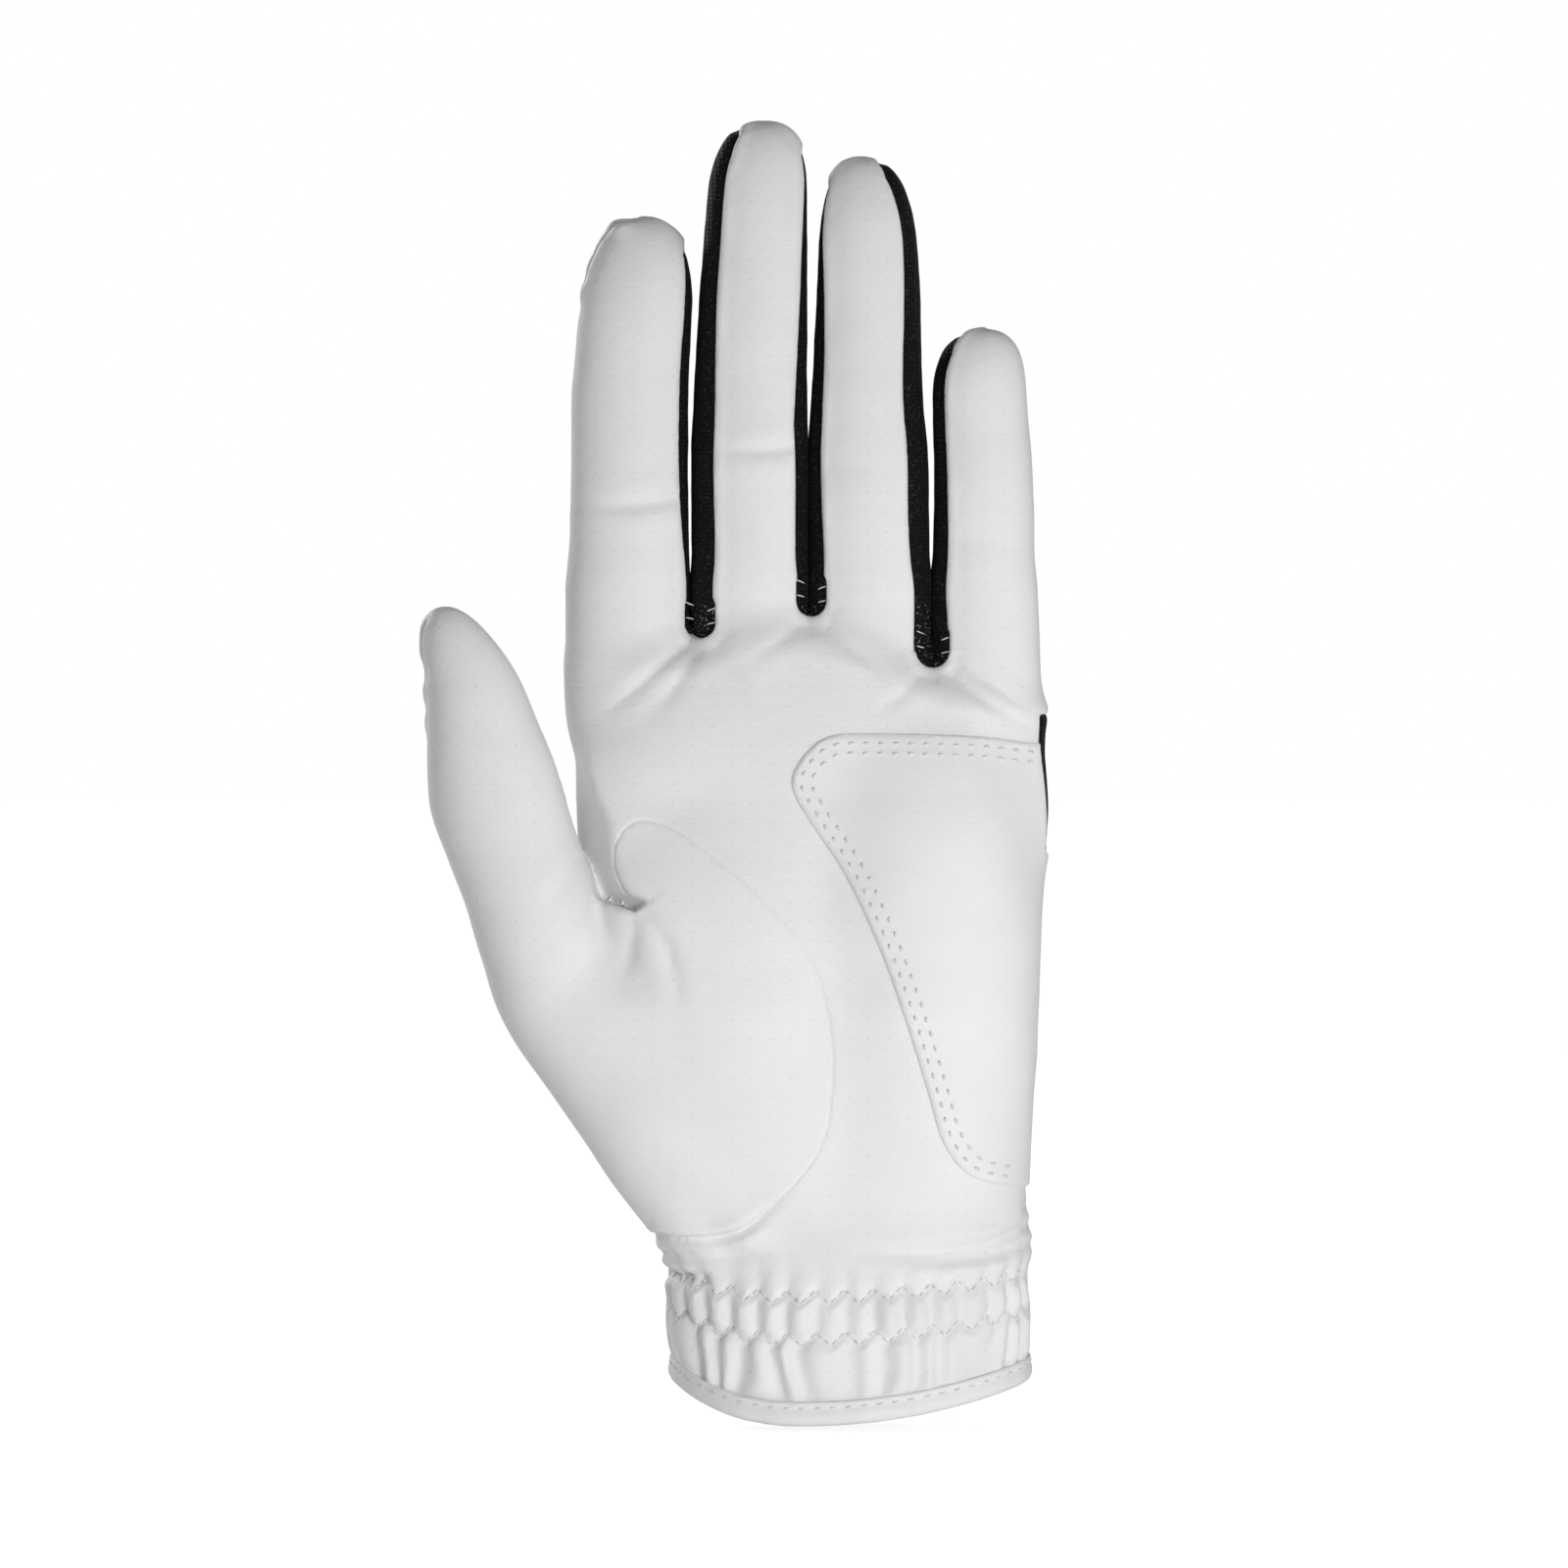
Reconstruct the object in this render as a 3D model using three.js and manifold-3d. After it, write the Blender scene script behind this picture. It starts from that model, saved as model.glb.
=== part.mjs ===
// A golf glove for the left hand, filled out as it is on a hand.
// Millimetres. +Z points to the fingertips, -Y is the palm side, +X is the little-finger side.
// The origin is the centre of the cuff opening, level with the lowest point of the hem.

import * as THREE from 'three';
import { mergeVertices } from 'three/addons/utils/BufferGeometryUtils.js';
import Module from 'manifold-3d';

const wasm = await Module();
wasm.setup();

// ---------------------------------------------------------------- driving dimensions

const LEATHER = 0.8;
const KNIT = 0.7;
const ELASTIC = 0.6;
const PAD = 0.9;
const THREAD = 0.5;
const GAP = 0.3;
const PATCH_LIFT = 0.65;

// The hand without its thumb: edges and faces by height, as [z, position].
const HAND_LEFT = [
  [0, -32.5], [20, -33], [36, -34], [50, -38.5], [70, -43.5], [95, -47.5], [115, -49.5], [150, -50.5],
];
const HAND_RIGHT = [[0, 33], [20, 33], [44, 32.6], [80, 34.4], [112, 36.2], [133, 35], [150, 34]];
const HAND_PALM = [
  [0, -22], [20, -21.5], [36, -19.5], [55, -20.5], [80, -19.5], [105, -16.5], [125, -14], [140, -11],
  [150, -9.2],
];
const HAND_BACK = [
  [0, 22], [20, 20.5], [36, 17.5], [55, 17], [80, 16.5], [105, 15.5], [125, 13.5], [140, 11], [150, 9.6],
];
const HAND_POWER = 2.4;

// The line across the palm where the fingers start, below their base hinges, as [x, z].
const FINGER_LINE = [
  [-51, 146.5], [-39, 147], [-29, 147], [-18, 150], [-6, 150], [4, 149], [14, 142], [36, 141],
];

const FINGER_POWER = 2.2;
const DOME_POWER = 2.6;
const KNUCKLE_DEPTH = -3;
const BASE_RANGE = 50;
const MIDDLE_RANGE = 80;
const STRIP_HALF = 4.2;
const STRIP_TAPER = 18;
const STRIP_END = 1.6;
const TIP_GAP = 0.2;

// Each finger: its centre line, half widths and half depths at the root and the tip, and its two hinges.
const FINGERS = [
  { name: 'index', centre: [-39.7, -37.5], half: [11, 10.3], depth: [9, 8.2], tip: 217.8, dome: 20,
    base: 150.5, middle: 167, strips: [1] },
  { name: 'middle', centre: [-17.8, -15.9], half: [10.4, 9.3], depth: [9.2, 8.2], tip: 235.2, dome: 17,
    base: 155, middle: 175, strips: [-1, 1] },
  { name: 'ring', centre: [3.4, 3], half: [10.3, 9.2], depth: [8.8, 8], tip: 228.7, dome: 19,
    base: 153.5, middle: 172, strips: [-1, 1] },
  { name: 'little', centre: [25.1, 23.7], half: [8.8, 8.2], depth: [7.8, 7.2], tip: 197.6, dome: 13,
    base: 145.5, middle: 160, strips: [-1] },
];
const FINGER_ROOT = 150;

// The thumb leans out from the hand. Its length is measured along its axis from this point.
const THUMB_START = new THREE.Vector3(-62, -6, 107);
const THUMB_LEAN = THREE.MathUtils.degToRad(15.4);
const THUMB_HALF = [[-80, 8], [-61, 10], [-45, 11.6], [-20, 12], [0, 12.4], [20, 10], [42.4, 8.4]];
const THUMB_DEPTH = [[-80, 8], [-60, 9.5], [-30, 12.3], [0, 11.5], [20, 10], [42.4, 9]];
const THUMB_CURVE = 0.0028;
const THUMB_TIP = 42.4;
const THUMB_DOME = 22;
const THUMB_HEEL = -80;
const THUMB_BASE = 5;
const THUMB_MIDDLE = 21.5;
const THUMB_BASE_RANGE = 25;
const THUMB_TIP_RANGE = 50;
const THUMB_BEND = THREE.MathUtils.degToRad(-60);

// The gaps between the fingers, where the black strips join the hand.
const WEBS = [
  { name: 'index_middle', x: -28.4, bottom: 142, top: 146.8, depth: 9.4 },
  { name: 'middle_ring', x: -7.1, bottom: 145, top: 149.6, depth: 9.2 },
  { name: 'ring_little', x: 15, bottom: 136.8, top: 141.8, depth: 10.2 },
];
const WEB_WIDTH = 4.6;
const WEB_ROUND = 0.6;

// The hem dips to 0 on the palm side, and rises by these amounts over these distances to its sides.
const HEM_LOW_X = -9;
const HEM_RISE = 8.6;
const HEM_RISE_RUN = 42;
const BACK_HEM = 9;
const BACK_HEM_RUN = 23.5;
const BACK_HEM_POWER = 2.3;
const HEM_BINDING = 3.6;
const HEM_COVER = 0.8;
const HEM_THREAD_DROP = 0.9;

// The zigzag rows over the elastic: height above the hem's low point, and how much they follow the hem.
const ZIGZAG_ROWS = [
  { name: 'upper', height: 21.8, follow: 0.55 },
  { name: 'lower', height: 14, follow: 0.68 },
];
const ZIGZAG_PITCH = 5.2;
const ZIGZAG_TOOTH = 2.3;
const ZIGZAG_TEETH = 12;
const ELASTIC_MARGIN = 3;
const CUFF_END = THREE.MathUtils.degToRad(9);

// The reinforcing patch on the heel of the hand: its inner edge, as [z, x].
const PATCH_EDGE = [
  [43.6, 27.5], [46, 21], [51.6, 16.9], [60.5, 14.2], [74.7, 9.8], [87.5, 5.1], [99.3, -0.5], [108, -6.2],
  [114, -9.6], [118.5, -9.4], [122, -6.4], [124.4, -1],
];
const PATCH_BOTTOM = 43.6;
const PATCH_TOP = 124.4;
const PATCH_WRAP = 14;
const PATCH_STITCHES = [{ name: 'outer', inset: 1.9 }, { name: 'inner', inset: 3.7 }];

const SLIT_X = -2;
const SLIT_WIDTH = 3;
const SLIT_TOP = 74;
const BINDING_WIDTH = 2.2;

const TAB_HINGE_X = 11;
const TAB_HINGE_GAP = 0.7;
const TAB_SEWN = 8;
const TAB_END_X = -27;
const TAB_LOW = 30;
const TAB_HIGH = 54;
const TAB_LIFT = 3;
const TAB_ROUND = 9;
const TAB_BLUNT = 0.45;
const LOOP_PAD_SIDE = -7;
const PAD_INSET = 3;

// The stretch insert over the knuckles, as [x, low z, high z] from its point to the outer edge.
const INSERT = [[-32, 113, 117], [-20, 110, 120], [0, 107, 124], [20, 106, 126], [33, 106, 126]];

const COLOURS = {
  leather: { color: 0xe8e8e6, roughness: 0.62, metalness: 0 },
  knit: { color: 0x0c0d0f, roughness: 0.9, metalness: 0 },
  elastic: { color: 0xdcdcda, roughness: 0.85, metalness: 0 },
  thread: { color: 0xf4f4f2, roughness: 0.7, metalness: 0 },
  hook: { color: 0xd8d8d8, roughness: 0.95, metalness: 0 },
};

// ---------------------------------------------------------------- helpers

const { degToRad, clamp, lerp } = THREE.MathUtils;
const glove = new THREE.Group();

// A smooth value through [position, value] stations.
function through(stations, x) {
  const last = stations.length - 1;
  let k = 0;
  while (k < last - 1 && x > stations[k + 1][0]) k += 1;
  const slope = (i) => {
    const before = stations[Math.max(i - 1, 0)];
    const after = stations[Math.min(i + 1, last)];
    return (after[1] - before[1]) / (after[0] - before[0]);
  };
  const [x0, y0] = stations[k];
  const [x1, y1] = stations[k + 1];
  const run = x1 - x0;
  const t = clamp((x - x0) / run, 0, 1);
  const start = (2 * t - 3) * t * t + 1;
  const rise = ((t - 2) * t + 1) * t * run * slope(k) + (t - 1) * t * t * run * slope(k + 1);
  return start * y0 + (1 - start) * y1 + rise;
}

// A straight-line value between [position, value] stations.
function between(stations, x) {
  let k = 0;
  while (k < stations.length - 2 && x > stations[k + 1][0]) k += 1;
  const [x0, y0] = stations[k];
  const [x1, y1] = stations[k + 1];
  return lerp(y0, y1, clamp((x - x0) / (x1 - x0), 0, 1));
}

const signedPower = (value, power) => Math.sign(value) * Math.abs(value) ** power;

// A rounded section of unit half width and half depth, at an angle counted from +X towards +Y.
function section(angle, power) {
  return [signedPower(Math.cos(angle), 2 / power), signedPower(Math.sin(angle), 2 / power)];
}

// The angle from the side of a section at which it stands this share of its half depth off its centre.
const angleAtDepth = (share, power) => Math.asin(clamp(share, 0, 0.96) ** (power / 2));

function closedGeometry(points, faces) {
  const raw = new THREE.BufferGeometry();
  raw.setAttribute('position', new THREE.Float32BufferAttribute(points.flatMap((p) => [p.x, p.y, p.z]), 3));
  raw.setIndex(faces);
  const merged = mergeVertices(raw, 1e-4);
  const index = merged.getIndex().array;
  const kept = [];
  for (let k = 0; k < index.length; k += 3) {
    const [a, b, c] = [index[k], index[k + 1], index[k + 2]];
    if (a !== b && b !== c && c !== a) kept.push(a, b, c);
  }
  merged.setIndex(kept);
  return merged;
}

// A closed sheet between two faces, each a function of u and v from 0 to 1.
// Seen from outside, u runs to the right and v runs up.
function sheet(outer, inner, across, along) {
  const points = [];
  const faces = [];
  for (const face of [outer, inner]) {
    for (let j = 0; j <= along; j += 1) {
      for (let i = 0; i <= across; i += 1) points.push(face(i / across, j / along));
    }
  }
  const at = (side, i, j) => (side * (along + 1) + j) * (across + 1) + i;
  const quad = (a, b, c, d) => faces.push(a, b, c, a, c, d);
  for (let j = 0; j < along; j += 1) {
    for (let i = 0; i < across; i += 1) {
      quad(at(0, i, j), at(0, i + 1, j), at(0, i + 1, j + 1), at(0, i, j + 1));
      quad(at(1, i, j), at(1, i, j + 1), at(1, i + 1, j + 1), at(1, i + 1, j));
    }
    quad(at(0, 0, j + 1), at(1, 0, j + 1), at(1, 0, j), at(0, 0, j));
    quad(at(0, across, j), at(1, across, j), at(1, across, j + 1), at(0, across, j + 1));
  }
  for (let i = 0; i < across; i += 1) {
    quad(at(0, i, 0), at(1, i, 0), at(1, i + 1, 0), at(0, i + 1, 0));
    quad(at(0, i + 1, along), at(1, i + 1, along), at(1, i, along), at(0, i, along));
  }
  return closedGeometry(points, faces);
}

function toSolid(geometry) {
  const bare = geometry.index ? geometry.clone() : geometry;
  bare.deleteAttribute('normal');
  bare.deleteAttribute('uv');
  const merged = mergeVertices(bare, 1e-4);
  return new wasm.Manifold(new wasm.Mesh({
    numProp: 3,
    vertProperties: Float32Array.from(merged.getAttribute('position').array),
    triVerts: Uint32Array.from(merged.getIndex().array),
  }));
}

// The largest single piece of a solid, as a geometry.
function fromSolid(solid) {
  const pieces = solid.decompose();
  pieces.sort((a, b) => b.volume() - a.volume());
  const mesh = pieces[0].getMesh();
  const geometry = new THREE.BufferGeometry();
  geometry.setAttribute('position', new THREE.Float32BufferAttribute(mesh.vertProperties, 3));
  geometry.setIndex(Array.from(mesh.triVerts));
  return geometry;
}

function cut(geometry, ...tools) {
  return fromSolid(tools.reduce((solid, tool) => solid.subtract(toSolid(tool)), toSolid(geometry)));
}

function add(name, geometry, finish) {
  const mesh = new THREE.Mesh(geometry, new THREE.MeshStandardMaterial(COLOURS[finish]));
  mesh.name = name;
  glove.add(mesh);
}

// ---------------------------------------------------------------- the hand

// A point on the hand at an angle and height, raised off the surface by lift.
function handPoint(angle, z, lift = 0) {
  const left = through(HAND_LEFT, z);
  const right = through(HAND_RIGHT, z);
  const palm = through(HAND_PALM, z);
  const back = through(HAND_BACK, z);
  const [across, deep] = section(angle, HAND_POWER);
  return new THREE.Vector3(
    (left + right) / 2 + ((right - left) / 2 + lift) * across,
    (palm + back) / 2 + ((back - palm) / 2 + lift) * deep,
    z,
  );
}

// The angle on the palm side (-1) or the back (+1) of the hand at an x and height.
function handAngle(x, z, side) {
  const left = through(HAND_LEFT, z);
  const right = through(HAND_RIGHT, z);
  const share = clamp((x - (left + right) / 2) / ((right - left) / 2), -0.999, 0.999);
  return side * Math.acos(signedPower(share, HAND_POWER / 2));
}

const onHand = (x, z, side, lift) => handPoint(handAngle(x, z, side), z, lift);

// A thread or tape along [x, z] points on the palm side (-1) or the back (+1), its outer face
// raised by lift.
function tape(points, side, lift, width, thickness, steps) {
  const controls = points.map(([x, z]) => new THREE.Vector3(x, 0, z));
  const curve = new THREE.CatmullRomCurve3(controls, false, 'catmullrom', 0.3);
  const face = (raise) => (u, v) => {
    const point = curve.getPoint(v);
    const ahead = curve.getTangent(v);
    const off = (u - 0.5) * width * -side;
    return onHand(point.x + off * ahead.z, point.z - off * ahead.x, side, raise);
  };
  return sheet(face(lift), face(lift - thickness), 1, steps);
}

// The height of the hem on the palm side.
function hemHeight(x) {
  return x > HEM_LOW_X
    ? HEM_RISE * ((x - HEM_LOW_X) / HEM_RISE_RUN) ** 2
    : BACK_HEM * (Math.min(HEM_LOW_X - x, BACK_HEM_RUN) / BACK_HEM_RUN) ** BACK_HEM_POWER;
}

function hemAt(angle) {
  return angle <= 0 ? hemHeight(handPoint(angle, 10).x) : BACK_HEM;
}

// A sheet on the hand between two angles, from a low to a high edge that vary with the angle.
function handSheet(from, to, low, high, lift, thickness, across, along) {
  const face = (raise) => (u, v) => {
    const angle = lerp(from, to, u);
    return handPoint(angle, lerp(low(angle), high(angle), v), raise);
  };
  return sheet(face(lift), face(lift - thickness), across, along);
}

const fingerLine = (angle) => between(FINGER_LINE, handPoint(angle, 140).x);
const EDGE = degToRad(0.5);

// A closed solid through rings of points. point gives each one from an angle and a share of the length.
function loft(point, across, along) {
  const points = [];
  const faces = [];
  for (let j = 0; j <= along; j += 1) {
    for (let i = 0; i < across; i += 1) points.push(point((2 * Math.PI * i) / across, j / along));
  }
  const at = (i, j) => j * across + (i % across);
  for (let i = 0; i < across; i += 1) {
    for (let j = 0; j < along; j += 1) {
      faces.push(at(i, j), at(i + 1, j), at(i + 1, j + 1), at(i, j), at(i + 1, j + 1), at(i, j + 1));
    }
    if (i > 0 && i < across - 1) {
      faces.push(at(0, 0), at(i + 1, 0), at(i, 0), at(0, along), at(i, along), at(i + 1, along));
    }
  }
  return closedGeometry(points, faces);
}

// ---------------------------------------------------------------- fingers and thumb as tubes

// A tube has an origin, a side direction, a length direction and sizes by length; depth is along +Y.
const DEPTH = new THREE.Vector3(0, 1, 0);

function domed(length, tip, height) {
  const t = clamp((length - (tip - height)) / height, 0, 1);
  return (1 - t ** DOME_POWER) ** (1 / DOME_POWER);
}

function fingerTube(finger) {
  const run = (z) => (z - FINGER_ROOT) / (finger.tip - FINGER_ROOT);
  return {
    name: `${finger.name}_finger`,
    origin: new THREE.Vector3(0, 0, 0),
    side: new THREE.Vector3(1, 0, 0),
    up: new THREE.Vector3(0, 0, 1),
    centre: (z) => lerp(finger.centre[0], finger.centre[1], run(z)),
    half: (z) => lerp(finger.half[0], finger.half[1], run(z)),
    depth: (z) => lerp(finger.depth[0], finger.depth[1], run(z)),
    tip: finger.tip,
    dome: finger.dome,
    strips: finger.strips,
    bend: new THREE.Vector2(0, -1),
    hinges: [
      { at: finger.base, range: degToRad(BASE_RANGE) },
      { at: finger.middle, range: degToRad(MIDDLE_RANGE) },
    ],
  };
}

const THUMB = {
  name: 'thumb',
  origin: THUMB_START,
  side: new THREE.Vector3(Math.cos(THUMB_LEAN), 0, Math.sin(THUMB_LEAN)),
  up: new THREE.Vector3(-Math.sin(THUMB_LEAN), 0, Math.cos(THUMB_LEAN)),
  centre: (length) => THUMB_CURVE * Math.min(length, 0) ** 2,
  half: (length) => through(THUMB_HALF, length),
  depth: (length) => through(THUMB_DEPTH, length),
  tip: THUMB_TIP,
  dome: THUMB_DOME,
  strips: [],
  bend: new THREE.Vector2(Math.cos(THUMB_BEND), Math.sin(THUMB_BEND)),
  hinges: [
    { at: THUMB_BASE, range: degToRad(THUMB_BASE_RANGE) },
    { at: THUMB_MIDDLE, range: degToRad(THUMB_TIP_RANGE) },
  ],
};

// Side and depth of a tube's surface at an angle and length, from its own axis.
function tubeSection(tube, angle, length, lift = 0) {
  const scale = domed(length, tube.tip + lift, tube.dome + lift);
  const [across, deep] = section(angle, FINGER_POWER);
  return [
    tube.centre(length) + (tube.half(length) + lift) * scale * across,
    (tube.depth(length) + lift) * scale * deep,
  ];
}

function tubePoint(tube, angle, length, lift = 0, shift = 0) {
  const [side, deep] = tubeSection(tube, angle, length, lift);
  return tube.origin.clone()
    .addScaledVector(tube.side, side)
    .addScaledVector(DEPTH, deep + shift)
    .addScaledVector(tube.up, length);
}

// How far an edge stays back from a hinge so that the inner side of the bend can close.
function hingeRoom(tube, hinge, angle) {
  const [side, deep] = tubeSection(tube, angle, hinge.at);
  const pivot = tube.bend.clone().multiplyScalar(-KNUCKLE_DEPTH);
  const inward = (side - tube.centre(hinge.at) - pivot.x) * tube.bend.x + (deep - pivot.y) * tube.bend.y;
  return GAP + Math.max(inward, 0) * Math.tan(hinge.range / 2);
}

// Half the depth of the black strip in a finger's side.
function stripHalf(tube, length) {
  return STRIP_HALF * Math.min(1, Math.max(tube.tip - length, 0.01) / STRIP_TAPER) ** 0.7;
}

// A sheet on a tube. low and high give its ends by angle, edges its two angles by length.
function tubeSheet(tube, edges, low, high, shift, thickness, across, along) {
  const middle = (edges(tube.hinges[1].at)[0] + edges(tube.hinges[1].at)[1]) / 2;
  const face = (lift) => (u, v) => {
    const near = lerp(...edges(tube.hinges[1].at), u);
    const end = Math.min(high(near), tube.tip + lift);
    const ease = end > tube.tip - tube.dome / 2 ? Math.sin((v * Math.PI) / 2) : v;
    const length = lerp(low(near), end, ease);
    const scaled = edges(length);
    const outward = shift * Math.sign(Math.sin(middle));
    return tubePoint(tube, lerp(scaled[0], scaled[1], u), length, lift, outward);
  };
  return sheet(face(0), face(-thickness), across, along);
}

// The palm-side and back sheets of one length of a tube, and the strips in its sides.
function tubeSegment(tube, label, low, high, reachesTip, along) {
  const bare = (side) => !tube.strips.includes(side);
  const edge = (side, length) => {
    if (bare(side)) return 0;
    const room = stripHalf(tube, length) + GAP / 4;
    const depth = tube.depth(length) * domed(length, tube.tip, tube.dome);
    return angleAtDepth(room / Math.max(depth, 0.5), FINGER_POWER);
  };
  const leather = [
    { face: 'palm_side', edges: (l) => [-Math.PI + edge(-1, l), -edge(1, l)] },
    { face: 'back', edges: (l) => [edge(1, l), Math.PI - edge(-1, l)] },
  ];
  for (const { face, edges } of leather) {
    const geometry = tubeSheet(tube, edges, low, high, TIP_GAP, LEATHER, 7, along);
    add(`${tube.name}_${label}_${face}`, geometry, 'leather');
  }
  const stripTop = reachesTip ? () => tube.tip - STRIP_END : high;
  for (const side of tube.strips) {
    const middle = side > 0 ? 0 : Math.PI;
    const reach = (length) => {
      const depth = tube.depth(length) * domed(length, tube.tip, tube.dome);
      return angleAtDepth(stripHalf(tube, length) / depth, FINGER_POWER);
    };
    const edges = (length) => [middle - reach(length), middle + reach(length)];
    const geometry = tubeSheet(tube, edges, low, stripTop, 0, KNIT, 2, along);
    add(`${tube.name}_${label}_strip_${side > 0 ? 'outer' : 'inner'}`, geometry, 'knit');
  }
}

for (const tube of [...FINGERS.map(fingerTube), THUMB]) {
  const [base, middle] = tube.hinges;
  const aboveBase = (angle) => base.at + hingeRoom(tube, base, angle);
  const belowMiddle = (angle) => middle.at - hingeRoom(tube, middle, angle);
  const aboveMiddle = (angle) => middle.at + hingeRoom(tube, middle, angle);
  tubeSegment(tube, 'base', aboveBase, belowMiddle, false, 2);
  tubeSegment(tube, 'tip', aboveMiddle, () => tube.tip, true, 6);
}

// ---------------------------------------------------------------- thumb root, palm and back

// Solids that fill the hand and the thumb's root, with room round them, for cutting one to the other.
const handAt = (share) => lerp(-1, 152, share);
const handBlock = loft((angle, share) => handPoint(angle, handAt(share), GAP), 36, 14);
const thumbAt = (share) => lerp(THUMB_HEEL, THUMB_BASE + 2, share);
const thumbBlock = loft((angle, share) => tubePoint(THUMB, angle, thumbAt(share), GAP), 20, 10);

function thumbRoot(name, from, to) {
  const top = (angle) => THUMB_BASE - hingeRoom(THUMB, THUMB.hinges[0], angle);
  const geometry = tubeSheet(THUMB, () => [from, to], () => THUMB_HEEL, top, TIP_GAP, LEATHER, 10, 8);
  add(name, cut(geometry, handBlock), 'leather');
}

thumbRoot('thumb_root_palm_side', -Math.PI, 0);
thumbRoot('thumb_root_back', 0, Math.PI);

function block(x0, x1, y0, y1, z0, z1) {
  const box = new THREE.BoxGeometry(x1 - x0, y1 - y0, z1 - z0);
  return box.translate((x0 + x1) / 2, (y0 + y1) / 2, (z0 + z1) / 2);
}

const webNotches = WEBS.map(({ x, bottom }) => {
  const half = WEB_WIDTH / 2 + GAP;
  return block(x - half, x + half, -30, 30, bottom - GAP, 160);
});

const aboveHem = (angle) => hemAt(angle) + HEM_COVER;
const palm = handSheet(-Math.PI + EDGE, -EDGE, aboveHem, fingerLine, 0, LEATHER, 22, 10);
add('palm_panel', cut(palm, thumbBlock, ...webNotches), 'leather');

function slitTool() {
  const half = SLIT_WIDTH / 2;
  const outline = new THREE.Shape();
  outline.moveTo(-half, -10);
  outline.lineTo(half, -10);
  outline.lineTo(half, SLIT_TOP - half);
  outline.absarc(0, SLIT_TOP - half, half, 0, Math.PI, false);
  outline.closePath();
  const tool = new THREE.ExtrudeGeometry(outline, { depth: 40, bevelEnabled: false, curveSegments: 8 });
  return tool.rotateX(Math.PI / 2).translate(SLIT_X, 45, 0);
}

// The stretch insert, or with room around it the hole that it fills.
function insertSheet(room, lift, thickness) {
  const lowEdge = INSERT.map(([x, low]) => [x, low - room]);
  const highEdge = INSERT.map(([x, , high]) => [x, high + room]);
  const first = INSERT[0][0] - room;
  const last = handAngle(INSERT[INSERT.length - 1][0], 116, 1) - (room > 0 ? 0.3 : 0);
  const face = (raise) => (u, v) => {
    const angle = lerp(last, handAngle(first, 116, 1), u);
    const x = handPoint(angle, 116).x;
    return handPoint(angle, lerp(between(lowEdge, x), between(highEdge, x), v), raise);
  };
  return sheet(face(lift), face(lift - thickness), 10, 3);
}

const back = handSheet(EDGE, Math.PI - EDGE, aboveHem, fingerLine, 0, LEATHER, 22, 10);
const insertHole = insertSheet(0.6, 4, 8);
add('back_panel', cut(back, thumbBlock, slitTool(), insertHole, ...webNotches), 'leather');
add('knuckle_stretch_insert', insertSheet(0, 0, KNIT), 'knit');

// Each web is an arch from the palm to the back, between two fingers.
for (const { name, x, bottom, top, depth } of WEBS) {
  const half = (raise) => (u, v) => {
    const angle = lerp(Math.PI, 0, u);
    return new THREE.Vector3(
      lerp(x - WEB_WIDTH / 2, x + WEB_WIDTH / 2, v),
      (depth + raise) * Math.cos(angle),
      bottom + (top - bottom + raise) * signedPower(Math.sin(angle), WEB_ROUND),
    );
  };
  add(`web_${name}`, sheet(half(-KNIT), half(0), 10, 1), 'knit');
}

// ---------------------------------------------------------------- palm patch and its two stitch rows

function patchEdge(z) {
  return between(PATCH_EDGE, z);
}

function patchFace(lift) {
  return (u, v) => {
    const z = lerp(PATCH_BOTTOM, PATCH_TOP, v);
    const start = handAngle(patchEdge(z), z, -1);
    return handPoint(lerp(start, -degToRad(PATCH_WRAP), u), z, lift);
  };
}

add('palm_patch', sheet(patchFace(PATCH_LIFT + LEATHER), patchFace(PATCH_LIFT), 9, 11), 'leather');

for (const { name, inset } of PATCH_STITCHES) {
  const points = [];
  for (let x = 33; x > -3; x -= 6) points.push([x, PATCH_TOP - inset]);
  for (const share of [0.93, 0.82, 0.68, 0.54, 0.4, 0.27, 0.15]) {
    const z = lerp(PATCH_BOTTOM, PATCH_TOP, share);
    points.push([patchEdge(z) + inset * 1.15, z]);
  }
  points.push([22 + inset, PATCH_BOTTOM + inset + 1], [31, PATCH_BOTTOM + inset]);
  const lift = PATCH_LIFT + LEATHER + GAP + THREAD;
  add(`patch_stitching_${name}`, tape(points.reverse(), -1, lift, THREAD, THREAD, 28), 'thread');
}

// ---------------------------------------------------------------- cuff

for (const { name, height, follow } of ZIGZAG_ROWS) {
  const points = [];
  for (let k = -ZIGZAG_TEETH; k <= ZIGZAG_TEETH; k += 1) {
    const x = (k * ZIGZAG_PITCH) / 2;
    points.push([x, height + follow * hemHeight(x) + (k % 2 ? 1 : -1) * (ZIGZAG_TOOTH / 2)]);
  }
  const geometry = tape(points, -1, GAP + 0.3 + THREAD, THREAD, THREAD, 4 * ZIGZAG_TEETH);
  add(`zigzag_stitching_${name}`, geometry, 'thread');
}

const [upperRow, lowerRow] = ZIGZAG_ROWS;
const bandLow = (angle) => lowerRow.height - ELASTIC_MARGIN + lowerRow.follow * hemAt(angle);
const bandHigh = (angle) => upperRow.height + ELASTIC_MARGIN + upperRow.follow * hemAt(angle);
const bandLift = -LEATHER - 1.5 * GAP;
const band = handSheet(-Math.PI + CUFF_END, -CUFF_END, bandLow, bandHigh, bandLift, ELASTIC, 20, 2);
add('wrist_elastic', band, 'elastic');

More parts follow.
